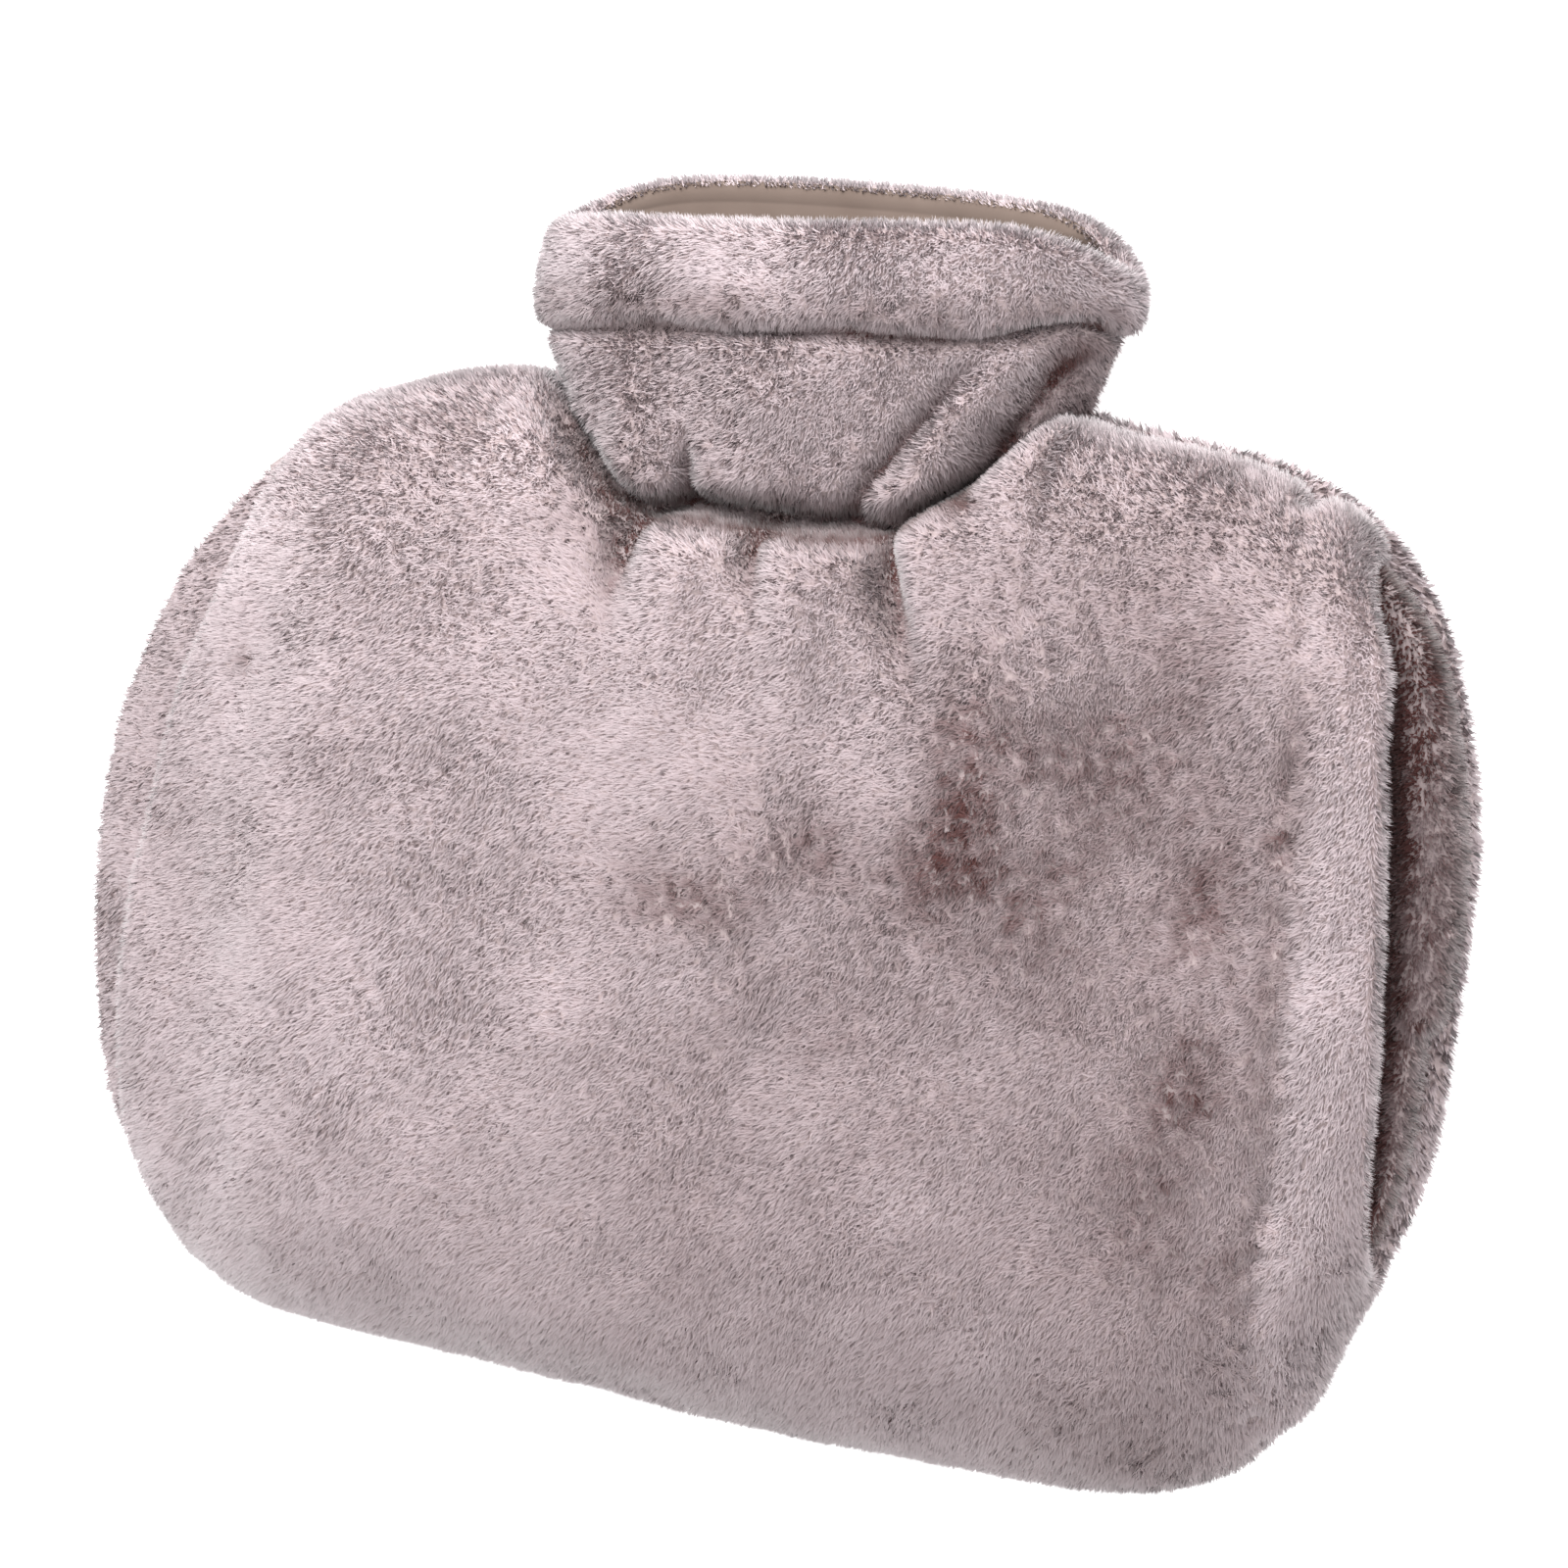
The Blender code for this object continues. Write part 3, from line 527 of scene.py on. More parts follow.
def brushed(points, normals, seed):
    # the pile lies down and to the left as it was smoothed, and wanders in patches
    wander = [waves(points, locks["wanderSize"], seed), waves(points, locks["wanderSize"], seed + 1)]
    wander = np.stack(wander + [np.zeros(points.shape[:2])], -1)
    return squareTo(np.array(locks["brushed"]) + locks["wander"] * wander, normals)


def dress(name, sheet, pilePieces, node):
    # the sheet stands in for its node, and its pile rides with it
    for piece in [sheet] + pilePieces:
        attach(piece, "root")
    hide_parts(node)
    print(name, "made")


muff = {
    "rows": 120, "columns": 190, "rowSpacing": 0.06,    # share of a half turn left out at each seam
    "leftTop": -98.0, "leftBottom": -122.0, "leftBow": -13.0, "rightTop": 118.0, "rightBottom": 140.5,
    "rightBow": 8.0, "bowEnd": 0.82,        # the right edge bows out and is drawn in near the top seam
    "crown": 70.0, "edgeLeft": 51.0, "edgeRight": 64.0, "domeFlat": 3.2, "domeRound": 0.55,
    "leftRise": 55.0, "rightFall": (60.0, 72.0),        # how the crown rises and falls across it
    "edgeRoom": 1.5,        # room for the fold at each open side
    "neckPuff": 0.25,       # how much rounder the panel stands below and to the right of the neck
    "puffReach": 62.0, "puffRise": (-38.0, 12.0),
    "stand": 21.0, "standRoom": 2.0,        # height of its top edge over the seam, across the neck
    "neckGroove": 4.0, "grooveWidth": 3.0,      # the drawn-in line below the collar
    "grooveRoom": 4.0, "grooveFade": 12.0,
    "gatherFade": 5.0, "gatherFoot": 0.35,
    "creaseShade": 1.2, "creaseNarrow": 0.8,    # painted shade on the pile in the gathers: how dark, and how narrow
    # painted shade on the pile along the line below the collar's foot
    "footShade": 0.8, "foot": (1.0, 1.5), "footFade": 10.0,
    "valleyX": 105.0, "valleyLean": -0.38, "valleyWidth": 24.0, "valleyDepth": 6.0,
    "neckTuck": 2.0,        # how much deeper the cloth goes in below the collar's foot
    "hemWidth": 15.5, "hemRoll": 2.2, "hemPuff": 1.2, "puffWidth": 7.0,
    "stitchDepth": 1.8, "stitchWidth": 2.2, "leftStitch": 0.15, "stitchWaves": 9.0,
    "relief": ((0.5, 46.0, 3), (0.15, 15.0, 4)),        # height, size, seed
    "pileLength": 2.1, "pileLift": 58.0, "ruffledDrop": 12.0, "bladeWidth": 0.45, "bladeCount": 196000,
    "stitchTrim": 0.35, "trimWidth": 2.5, "ruffledGrowth": 0.2, "creaseTrim": 0.45,
    # the first two scale the nap's darkening, with its painted shade and light, and the painted shade of the
    # gathers and the collar's foot
    "patchShade": 0.72, "creasePaintedShade": 0.9, "pileCut": 20.0,      # x where its two piles meet
}
muffSpan = (muff["rightTop"] + muff["rightBottom"] - muff["leftTop"] - muff["leftBottom"]) / 2.0
# gathers below the neck: place from the neck's middle, lean, half width, height, reach down the panel
muffGathers = (
    (-24.0, 0.10, 4.0, -8.0, 15.0),
    (-11.0, 0.08, 9.0, 4.5, 40.0),
    (0.5, 0.40, 2.8, -7.0, 10.0),
    (13.0, 0.15, 8.5, 4.0, 34.0),
    (26.0, 0.38, 2.2, -11.0, 26.0),
    (31.0, 0.45, 4.0, 2.5, 14.0),
    (37.0, 0.75, 2.6, -5.0, 8.0),
    (48.0, 0.60, 11.0, 2.0, 34.0),
)
# places where the nap is pressed, ruffled or, with a value below 0, brushed up pale, and where painted shade
# and painted light follow how the form turns from the lamp or faces it: body x, y, half width, half height,
# how dark, how ruffled
napAndPaintedLightPlaces = (
    (57.0, 36.0, 12.0, 22.0, 0.75, 0.35),
    (5.0, 6.0, 20.0, 8.0, 0.34, 0.30),
    (24.0, 17.0, 18.0, 7.0, 0.30, 0.50),
    (88.0, 45.0, 14.0, 34.0, 0.46, 0.25),
    (72.0, 14.0, 16.0, 16.0, 0.40, 0.30),
    (105.0, 5.0, 11.0, 40.0, 0.50, 0.35),
    (95.0, -25.0, 14.0, 16.0, 0.20, 0.30),
    (108.0, -50.0, 16.0, 18.0, 0.25, 0.35),
    (100.0, -82.0, 26.0, 12.0, 0.35, 0.35),
    (114.5, 36.0, 3.5, 26.0, 0.45, 0.60),
    (117.0, -20.0, 3.5, 34.0, 0.25, 0.40),
    (-29.0, 73.0, 8.0, 10.0, 0.40, 0.60),
    (-41.0, 92.0, 3.0, 3.0, 0.30, 0.30),
    (40.0, -10.0, 50.0, 45.0, 0.30, 0.10),
    (72.0, 50.0, 9.0, 14.0, 0.20, 0.20),
    (20.0, 68.0, 5.0, 9.0, 0.15, 0.60),
    (62.0, 66.0, 10.0, 14.0, 0.10, 0.35),
    (-100.0, 36.0, 2.5, 2.5, 0.40, 0.80),
    (126.0, 0.0, 7.0, 95.0, -0.24, 0.00),
    (-85.0, -60.0, 45.0, 45.0, -0.20, 0.00),
    (84.0, 82.0, 26.0, 14.0, 0.18, 0.00),
    (-5.0, 66.0, 9.0, 12.0, -0.12, 0.00),
    (22.0, 66.0, 6.0, 10.0, -0.10, 0.00),
    (-45.0, 4.0, 28.0, 28.0, -0.12, 0.00),
    (-95.0, 62.0, 34.0, 26.0, -0.22, 0.00),
    (-46.0, 87.0, 8.0, 14.0, -0.45, 0.00),
    (20.0, -75.0, 60.0, 24.0, 0.10, 0.00),
)


def muffSurface():
    # ruled between the bottom seam (v = 0) and the top seam (v = 1), raised by crown x dome(2 v - 1)
    room, skip, columns = muff["edgeRoom"] / muffSpan, muff["rowSpacing"], muff["columns"]
    u = np.linspace(room, 1.0 - room, columns)
    v = 0.5 - 0.5 * np.cos(np.linspace(skip, 1.0 - skip, muff["rows"]) * np.pi) / np.cos(skip * np.pi)
    u, v = np.meshgrid(u, v)
    lowX = muff["leftBottom"] + (muff["rightBottom"] - muff["leftBottom"]) * u
    highX = muff["leftTop"] + (muff["rightTop"] - muff["leftTop"]) * u
    pulled = gathered(highX)
    highY = outlineY(highX, True) - neckDip(highX) - body["skirt"] * pulled
    lowY = outlineY(lowX, False)
    x = lowX + (highX - lowX) * v + muff["leftBow"] * 4.0 * v * (1.0 - v) * (1.0 - u) ** 2
    x = x + muff["rightBow"] * v * (1.0 - smooth((v - muff["bowEnd"]) / (1.0 - muff["bowEnd"]))) * u ** 4
    y = lowY + (highY - lowY) * v
    seam = body["seamHeight"] + body["seamGap"] / 2.0 + body["skirt"]
    stand = neckShape(fromNeck(highX), neck["half"] + muff["standRoom"])
    top = seam - body["skirt"] * pulled + muff["stand"] * stand
    edge = seam + (top - seam) * smooth(v)
    # its crown is lower towards both sides, and along a valley on the right
    left = smooth((x - muff["leftBottom"] - muff["leftBow"] / 2.0) / muff["leftRise"])
    right = ramp(x, muff["rightFall"])
    crown = muff["edgeLeft"] + (muff["crown"] - muff["edgeLeft"]) * left
    crown = crown - (muff["crown"] - muff["edgeRight"]) * right
    fromValley = x - muff["valleyX"] - muff["valleyLean"] * y
    crown = crown - muff["valleyDepth"] * bump(fromValley / muff["valleyWidth"])
    beside = bump((highX - neck["x"]) / muff["puffReach"]) * smooth(2.0 * v - 1.0)
    beside = beside * ramp(highX - neck["x"], muff["puffRise"])
    turn = muff["domeRound"] - muff["neckPuff"] * beside
    z = edge + (crown - edge) * dome(2.0 * v - 1.0, muff["domeFlat"], turn)
    down = highY - y
    below = smooth((neck["half"] + muff["grooveRoom"] - fromNeck(highX)) / muff["grooveFade"])
    z = z - muff["neckGroove"] * bump(down / muff["grooveWidth"]) * below
    # painted shade for the pile in the gathers' creases and below the collar's foot, which also shortens it
    crease = np.zeros_like(z)
    for place, lean, width, height, reach in muffGathers:
        off = x - neck["x"] - place - lean * down
        foot = smooth(down / muff["gatherFade"] + muff["gatherFoot"])
        z = z + height * bump(off / width) * bump(down / reach) * foot
        narrow = bump(off / (muff["creaseNarrow"] * width)) * bump(down / reach)
        crease = crease + muff["creaseShade"] * (height < 0.0) * narrow
    inNeck = smooth((neck["half"] - fromNeck(highX)) / muff["footFade"])
    crease = crease + muff["footShade"] * hump(down, muff["foot"]) * inNeck
    points = np.stack([x, y, z], -1)
    # the last rows turn in, below the collar's foot at the neck and inside the seam elsewhere
    drop = np.array([0.0, cloth["tuck"], -body["skirt"]])
    share = pulled[-1]
    upwards = body["skirt"] * share - cloth["tuck"] * (1.0 - share)
    up = np.stack([np.zeros(columns), upwards, -body["skirt"] - muff["neckTuck"] * share], -1)
    low = [points[:1] + drop * k for k in (1.0, 0.5)]
    high = [points[-1:] + up * k for k in (0.5, 1.0)]
    return np.concatenate(low + [points] + high), u, np.pad(crease, ((2, 2), (0, 0)), "edge")


def napAndPaintedLightFields(points):
    # how dark and how ruffled the nap is, with its painted shade and painted light: soft ovals, broken up by
    # the waves
    x, y = points[..., 0], points[..., 1]
    rough = 1.0 + 0.22 * waves(points, 22.0, 71) + 0.10 * waves(points, 9.0, 73)
    dark, ruffled = np.zeros_like(x), np.zeros_like(x)
    for atX, atY, wide, tall, deep, loose in napAndPaintedLightPlaces:
        oval = bump(np.hypot((x - atX) / wide, (y - atY) / tall)) * np.clip(rough, 0.2, 1.8)
        dark = dark + deep * oval
        ruffled = ruffled + loose * oval
    return np.clip(dark, -1.0, 1.0), np.clip(ruffled, 0.0, 1.0)


def hemRelief(points, u, fromSide):
    # the hem's puff, less the stitch line beside it, which is uneven as the pile swallows it
    uneven = np.clip(0.6 + 0.4 * waves(points, muff["stitchWaves"], 21), 0.1, 1.3)
    groove = muff["stitchDepth"] * bump((fromSide - muff["hemWidth"]) / muff["stitchWidth"]) * uneven
    groove = groove * np.pad(np.where(u > 0.5, 1.0, muff["leftStitch"]), ((2, 2), (0, 0)), "edge")
    return muff["hemPuff"] * bump((fromSide - muff["hemWidth"] / 2.0) / muff["puffWidth"]) - groove


def makeMuff():
    # the surface is hung, given its relief and folded under at both sides, and carries its pile in two pieces
    plain, u, crease = muffSurface()
    dark, ruffled = napAndPaintedLightFields(plain)
    points = hang(plain)
    normals = gridNormals(points)
    fromSide = np.pad(np.minimum(u, 1.0 - u) * muffSpan, ((2, 2), (0, 0)), "edge")
    relief = sum(height * waves(points, size, seed) for height, size, seed in muff["relief"])
    relief = relief + hemRelief(points, u, fromSide)
    points, normals = layDown(points, normals, relief, gridNormals)
    # both open sides fold under: the grid is turned so that its columns are rows
    side = points.swapaxes(0, 1)
    sideNormals = normals.swapaxes(0, 1)
    grown, turnedRight = foldOver(side, sideNormals, muff["hemRoll"], muff["hemWidth"])
    back, turnedLeft = foldOver(side[::-1], sideNormals[::-1], muff["hemRoll"], muff["hemWidth"])
    extra = (len(back) - len(side), len(grown) - len(side))
    whole = np.concatenate([back[:len(side) - 1:-1], grown]).swapaxes(0, 1)
    turned = np.concatenate([turnedLeft[:len(side) - 1:-1], turnedRight])
    sheet = makeSheet("muffPanel", whole, 1.0)
    # the face keeps its own normals, which stay true where the cloth below turns sharply
    allNormals = gridNormals(whole)
    allNormals[:, extra[0]:whole.shape[1] - extra[1]] = normals
    fromEdge = np.pad(fromSide, ((0, 0), extra), constant_values=0.0)
    dark, ruffled, crease = (np.pad(f, ((0, 0), extra), "edge") for f in (dark, ruffled, crease))
    crease = np.clip(crease, 0.0, 1.0)
    x = whole[..., 0]
    trim = muff["stitchTrim"] * bump((fromEdge - muff["hemWidth"]) / muff["trimWidth"]) * (x > 0.0)
    length = 1.0 - trim + muff["ruffledGrowth"] * ruffled - muff["creaseTrim"] * crease
    # the pile's dark share: the nap with its painted shade and light, and painted shade in the gathers and
    # below the collar's foot
    grid = {"points": whole, "normals": allNormals, "lean": brushed(whole, allNormals, 31),
            "lift": muff["pileLift"] - muff["ruffledDrop"] * ruffled, "length": muff["pileLength"] * length,
            "dark": muff["patchShade"] * dark + muff["creasePaintedShade"] * crease, "ruffled": ruffled}
    outside = np.where(turned < insideFold, 1.0, 0.0)
    isLeft = x < muff["pileCut"]
    piles = []
    for name, seed, keep in (("muffPileLeft", 5, isLeft), ("muffPileRight", 6, ~isLeft)):
        grid["density"] = outside * keep
        pile = {"seed": seed, "count": muff["bladeCount"], "width": muff["bladeWidth"]}
        piles.append(growPile(name, grid, pile))
    return sheet, piles


inner = {
    "across": 130, "along": 110,
    "crown": 48.0, "flat": 2.6, "round": 0.7, "coverStep": 30.0, "coverStart": 0.6,
    "underGap": 1.4, "clothThick": 3.5,
    "neckRoom": 5.0, "neckBelow": (14.0, 15.0), "besideHalf": 16.0, "besideFade": 24.0,
    "pitRoom": 5.0, "pitWidth": 14.0, "pitBelow": (12.0, 14.0),
    "sideRound": 0.34, "sideCrown": 6.0, "side": (92.0, 30.0),      # fuller at its open right side
    "slotDepth": 9.0, "slotWidth": 7.0, "slotIn": 3.0,      # the slot beside the muff's right edge, darkened by painted shade
    "slotLow": (-76.0, 26.0), "slotHigh": (52.0, 30.0),     # where it begins and where it ends
    "relief": 0.3, "reliefSize": 34.0,
    "pileRight": (92.0, 14.0), "pileLeft": (90.0, 14.0), "pileUnder": 0.02,     # where it grows
    "pileLength": 2.1, "pileLift": 60.0, "bladeWidth": 0.53, "bladeCount": 84000, "ruffled": 0.1,
    # painted shade: darker on the open right side, which turns from the lamp, and darker still towards the
    # slot under the muff's edge
    "shade": 0.50, "slotShade": 0.8, "shadeEnd": 140.0, "shadeFade": 12.0,
}
back = {
    "across": 110, "along": 90, "side": (3.0, 6.0),     # the height at which its side starts, and its reach
    "pileLength": 3.2, "sideShorter": 0.8, "pileLift": 14.0, "sideLift": 36.0, "sideDenser": 0.8,
    "bladeWidth": 1.1, "bladeCount": 90000, "ruffled": 0.1,
}


def discGrid(across, along):
    # a square grid pressed into a disc: x = u sqrt(1 - v^2 / 2), y = v sqrt(1 - u^2 / 2), closer at its rim
    spread = 1.35
    u, v = (np.sin(np.linspace(-1.0, 1.0, count) * spread) / np.sin(spread) for count in (across, along))
    u, v = np.meshgrid(u, v)
    x = u * np.sqrt(1.0 - v * v / 2.0)
    y = v * np.sqrt(1.0 - u * u / 2.0)
    return np.hypot(x, y), np.arctan2(y, x)


def muffCover(angle):
    # 1 where the muff covers the seam, 0 beside its open sides
    reach = outlineRadius(angle)
    x = reach * np.cos(angle)
    upper = np.sin(angle) > 0
    left = x - np.where(upper, muff["leftTop"], muff["leftBottom"])
    right = np.where(upper, muff["rightTop"], muff["rightBottom"]) - x
    return smooth(np.minimum(left, right) / inner["coverStep"] + inner["coverStart"])


def innerSurface():
    # the pouch's front: the disc drawn in under the muff, raised by dome(radius), fuller at its right side
    radius, angle = discGrid(inner["across"], inner["along"])
    under = inner["clothThick"] + inner["underGap"]
    reach = (outlineRadius(angle) - under * muffCover(angle)) * radius
    x, y = reach * np.cos(angle), reach * np.sin(angle)
    upper = (y > 0) * radius ** 4
    pulled = gathered(x) * upper
    y = y - (neckDip(x) + body["skirt"] * gathered(x)) * upper
    edge = body["seamHeight"] + body["seamGap"] / 2.0 + body["skirt"] * (1.0 - pulled)
    raised = neck["front"] * neckShape(fromNeck(x), neck["half"]) - under
    edge = edge + np.maximum(raised, 0.0) * upper
    top = np.maximum(outlineY(x, True) - neckDip(x), 1.0)
    out = np.maximum(radius, np.clip(y / top, 0.0, 1.0) * gathered(x))
    side = ramp(x, inner["side"])
    crown = inner["crown"] + inner["sideCrown"] * side
    turn = inner["round"] + (inner["sideRound"] - inner["round"]) * side
    z = edge + (crown - edge) * dome(out, inner["flat"], turn)
    # it gives way to the slot beside the muff's edge, and to the neck's gathers and pit
    height = body["lowerRight"][1]
    muffEdge = muff["rightBottom"] + (muff["rightTop"] - muff["rightBottom"]) * (y + height) / (2.0 * height)
    along = ramp(y, inner["slotLow"]) * (1.0 - ramp(y, inner["slotHigh"]))
    z = z - inner["slotDepth"] * bump((x - muffEdge + inner["slotIn"]) / inner["slotWidth"]) * along
    beside = smooth((neck["half"] + inner["besideHalf"] - fromNeck(x)) / inner["besideFade"])
    z = z - inner["neckRoom"] * beside * hump(top - y, inner["neckBelow"]) * (y > 0)
    pit = bump((x - neck["x"] - neck["pit"][0]) / inner["pitWidth"])
    z = z - inner["pitRoom"] * pit * hump(top - y, inner["pitBelow"]) * (y > 0)
    return hang(np.stack([x, y, z], -1)), pulled


def backSurface():
    # flat inside `backFlat` of the radius, then a round turn up to the seam
    radius, angle = discGrid(back["across"], back["along"])
    reach = outlineRadius(angle) * radius
    x, y = reach * np.cos(angle), reach * np.sin(angle)
    upper = (y > 0) * radius ** 4
    pulled = gathered(x) * upper
    y = y - (neck["backDip"] + body["skirt"]) * pulled
    depth = neck["back"] * roundedEnd(fromNeck(x), neck["half"], neck["back"] * neck["backTurn"])
    edge = body["seamHeight"] - body["seamGap"] / 2.0 - body["skirt"] * (1.0 - pulled) - depth * upper
    out = np.clip((radius - body["backFlat"]) / (1.0 - body["backFlat"]), 0.0, 1.0)
    z = edge * (1.0 - np.sqrt(np.clip(1.0 - out ** body["backRound"], 0.0, 1.0)))
    return hang(np.stack([x, y, z], -1)), pulled


def withSkirt(points, pulled, sign):
    # a ring round the grid that turns in at the seam: down (or up, at the back) and inwards, or to the collar
    ring = np.pad(points, ((1, 1), (1, 1), (0, 0)), "edge")
    share = np.pad(pulled, 1, "edge")
    centre = np.array([body["placeX"], body["placeY"]])
    inward = -unit(ring[..., :2] - centre) * (cloth["tuck"] * (1.0 - share))[..., None]
    rise = -sign * body["skirt"] * (1.0 - share)
    move = np.stack([inward[..., 0], inward[..., 1] + body["skirt"] * share, rise], -1)
    inside = np.zeros_like(share, bool)
    inside[1:-1, 1:-1] = True
    return np.where(inside[..., None], ring, ring + move)


def makeInner():
    # its pile grows where an open side shows it, with painted shade on the right side, darkest towards the
    # slot
    points, pulled = innerSurface()
    points = withSkirt(points, pulled, 1.0)
    relief = inner["relief"] * waves(points, inner["reliefSize"], 41)
    points, normals = layDown(points, gridNormals(points), relief, gridNormals)
    sheet = makeSheet("innerPanel", points, 1.0)
    x = points[..., 0]
    right, left = ramp(x, inner["pileRight"]), ramp(-x, inner["pileLeft"])
    slot = smooth((inner["shadeEnd"] - x) / inner["shadeFade"])
    grid = {"points": points, "normals": normals, "lean": brushed(points, normals, 43),
            "lift": inner["pileLift"], "length": inner["pileLength"], "ruffled": inner["ruffled"],
            "density": right + left + inner["pileUnder"],
            "dark": right * (inner["shade"] + inner["slotShade"] * slot)}
    pile = {"seed": 8, "count": inner["bladeCount"], "width": inner["bladeWidth"]}
    return sheet, [growPile("innerPile", grid, pile)]


def makeBack():
    # its pile lies flat below and stands up along the sides
    points, pulled = backSurface()
    points = withSkirt(points, pulled, -1.0)
    normals = gridNormals(points, -1.0)
    points = points - normals * cloth["inset"]
    sheet = makeSheet("backPanel", points, -1.0)
    side = ramp(points[..., 2], back["side"])
    grid = {"points": points, "normals": normals, "lean": brushed(points, normals, 53),
            "lift": back["pileLift"] + back["sideLift"] * side,
            "length": back["pileLength"] - back["sideShorter"] * side,
            "density": 1.0 + back["sideDenser"] * side, "dark": 0.0, "ruffled": back["ruffled"]}
    pile = {"seed": 9, "count": back["bladeCount"], "width": back["bladeWidth"]}
    return sheet, [growPile("backPile", grid, pile)]


collar = {
    "rows": 72, "frontColumns": 150, "backColumns": 110,
    "rimHalf": 59.4, "rimY": 135.0, "rimTilt": 0.22, "rimSlope": 0.005, "rimRound": 6.0,
    "rimFront": 25.0, "rimBack": 22.0, "rimRoom": 0.9,
    "frontLift": 1.9, "frontSlope": 0.07,   # the front of the rim is pulled up towards its right end
    "foot": 25.0,           # height over the seam of its gathered front at the neck
    "hemStart": 0.55,       # share of the height below the stitch line
    "hemDepth": 17.5,       # from the stitch line to the rim's turn, less at its right end
    "rightLift": 8.5, "right": (0.55, 0.45), "middleLift": 0.5,
    "hemBulge": 3.0, "bulgeTurn": 0.35, "bulgeFall": 0.3, "stitchDip": 1.8, "stitchWidth": 0.03,
    "neckGroove": 8.0, "grooveHeight": 0.05,
    "foldFade": 0.4, "footFade": 0.3, "creaseNarrow": 0.6, "footHeight": 0.045,
    "roll": 3.8, "turnDown": 15.0, "turnSlant": 0.6,
    "relief": ((0.35, 26.0, 61), (0.15, 10.0, 62)), "reliefEnd": (0.7, 0.2),
    "wander": 0.25, "wanderSize": 30.0, "roughSize": 14.0, "roughDepth": 0.5,
    "band": (0.11, 0.10), "bandRuffled": 0.5, "bandShade": 0.16,        # the hem's lower part
    "foldFoot": (0.10, 0.12), "footRuffled": 0.35, "footDark": 0.10,    # the foot of the folds
    # painted shade along the stitch line below the hem's roll, and in the creases and along the collar's foot
    "stitchShade": 0.55, "stitchLine": 0.018, "creaseShade": 0.6,
    "sideShade": 0.35, "side": (51.0, 5.0), "sideEnd": 0.06,            # painted shade on the right side below the hem, which turns from the lamp
    # the pile is a little paler all over, and on the hem's top, which faces the lamp, paler still as painted
    # light
    "paler": 0.06, "hemPaintedLight": 0.30, "hemPale": (0.74, 0.16),
    "pileLength": 2.1, "pileLift": 62.0, "bladeWidth": 0.45, "frontBlades": 62000, "backBlades": 42000,
    "stitchTrim": 0.45, "rimTrim": 0.5, "rim": (0.3, 0.4), "pileEnd": 0.7,
}
# folds from the neck up to the stitch line: place at the neck, place at the stitch line, half width, height,
# and the share of the way at which they have run out
collarFolds = (
    (-24.0, -38.0, 7.0, 2.5, 1.0),
    (-15.5, -18.0, 2.4, -4.5, 0.55),
    (-2.0, 2.0, 11.0, 3.0, 1.0),
    (15.0, 39.0, 3.2, -3.4, 1.0),
    (26.0, 48.0, 7.0, 1.8, 1.0),
    (40.0, 57.0, 4.0, -2.8, 1.0),
)


def runOut(toStitch, end):
    # 1 along a fold, then down to 0 where it has run out
    return 1.0 - smooth((toStitch - end + collar["foldFade"]) / collar["foldFade"])


def frontSection(x, half, height, toStitch, fullness):
    # the neck's section turns into the rim's half ellipse, with the folds on it
    share = smooth(toStitch)
    rise = collar["foot"] + (collar["rimFront"] - collar["foot"]) * height
    z = rise * (neckShape(np.abs(x), half) * (1.0 - share) + fullness * share)
    for low, high, width, tall, end in collarFolds:
        foot = smooth(height / collar["grooveHeight"] + collar["footFade"])
        z = z + tall * bump((x - low - (high - low) * toStitch) / width) * foot * runOut(toStitch, end)
    z = z - collar["neckGroove"] * bump(height / collar["grooveHeight"]) * gathered(x + neck["x"])
    pull = z / collar["rimFront"] * (collar["frontLift"] + collar["frontSlope"] * x)
    return z, neckDip(x + neck["x"]) - neck["frontGap"], pull


def backSection(x, half, height):
    # flat with rounded ends at the neck, wider and rounder towards the rim
    depth = neck["back"] + (collar["rimBack"] - neck["back"]) * height
    neckTurn = neck["back"] * neck["backTurn"]
    turn = neckTurn + (collar["rimHalf"] - neckTurn) * smooth(height)
    z = -depth * roundedEnd(np.abs(x), half, turn)
    return z, neck["backDip"] * gathered(x + neck["x"]) - neck["backGap"], 0.0


def collarHalf(front, place, height):
    # from the neck's line to the rim; above its stitch line the hem stands proud, like a tube up to the rim
    toStitch = np.clip(height / collar["hemStart"], 0.0, 1.0)
    half = neck["half"] + (collar["rimHalf"] - neck["half"]) * toStitch
    hem = np.clip((height - collar["hemStart"]) / (1.0 - collar["hemStart"]), 0.0, 1.0)
    proud = collar["hemBulge"] * roundedEnd(1.0 - hem, 1.0, collar["bulgeTurn"])
    proud = proud * (1.0 - collar["bulgeFall"] * hem ** 4)
    proud = proud - collar["stitchDip"] * bump((height - collar["hemStart"]) / collar["stitchWidth"])
    x = place * half
    side = 1.0 if front else -1.0
    fullness = np.sqrt(np.clip(1.0 - place ** 2, 0.0, 1.0))
    if front:
        z, dip, pull = frontSection(x, half, height, toStitch, fullness)
    else:
        z, dip, pull = backSection(x, half, height)
    start = outlineY(x + neck["x"], True) - dip
    end = collar["rimY"] - collar["roll"] * collar["rimRoom"] - z * collar["rimTilt"]
    end = end + collar["rimSlope"] * x - collar["rimRound"] * place ** 6 + pull
    lift = collar["rightLift"] * ramp(place, collar["right"]) + collar["middleLift"] * bump(place * 3.0)
    stitch = end - collar["hemDepth"] + lift
    y = start + (stitch - start) * toStitch + (end - stitch) * hem
    return np.stack([x + neck["x"] + proud * place, y, body["seamHeight"] + z + side * proud * fullness], -1)


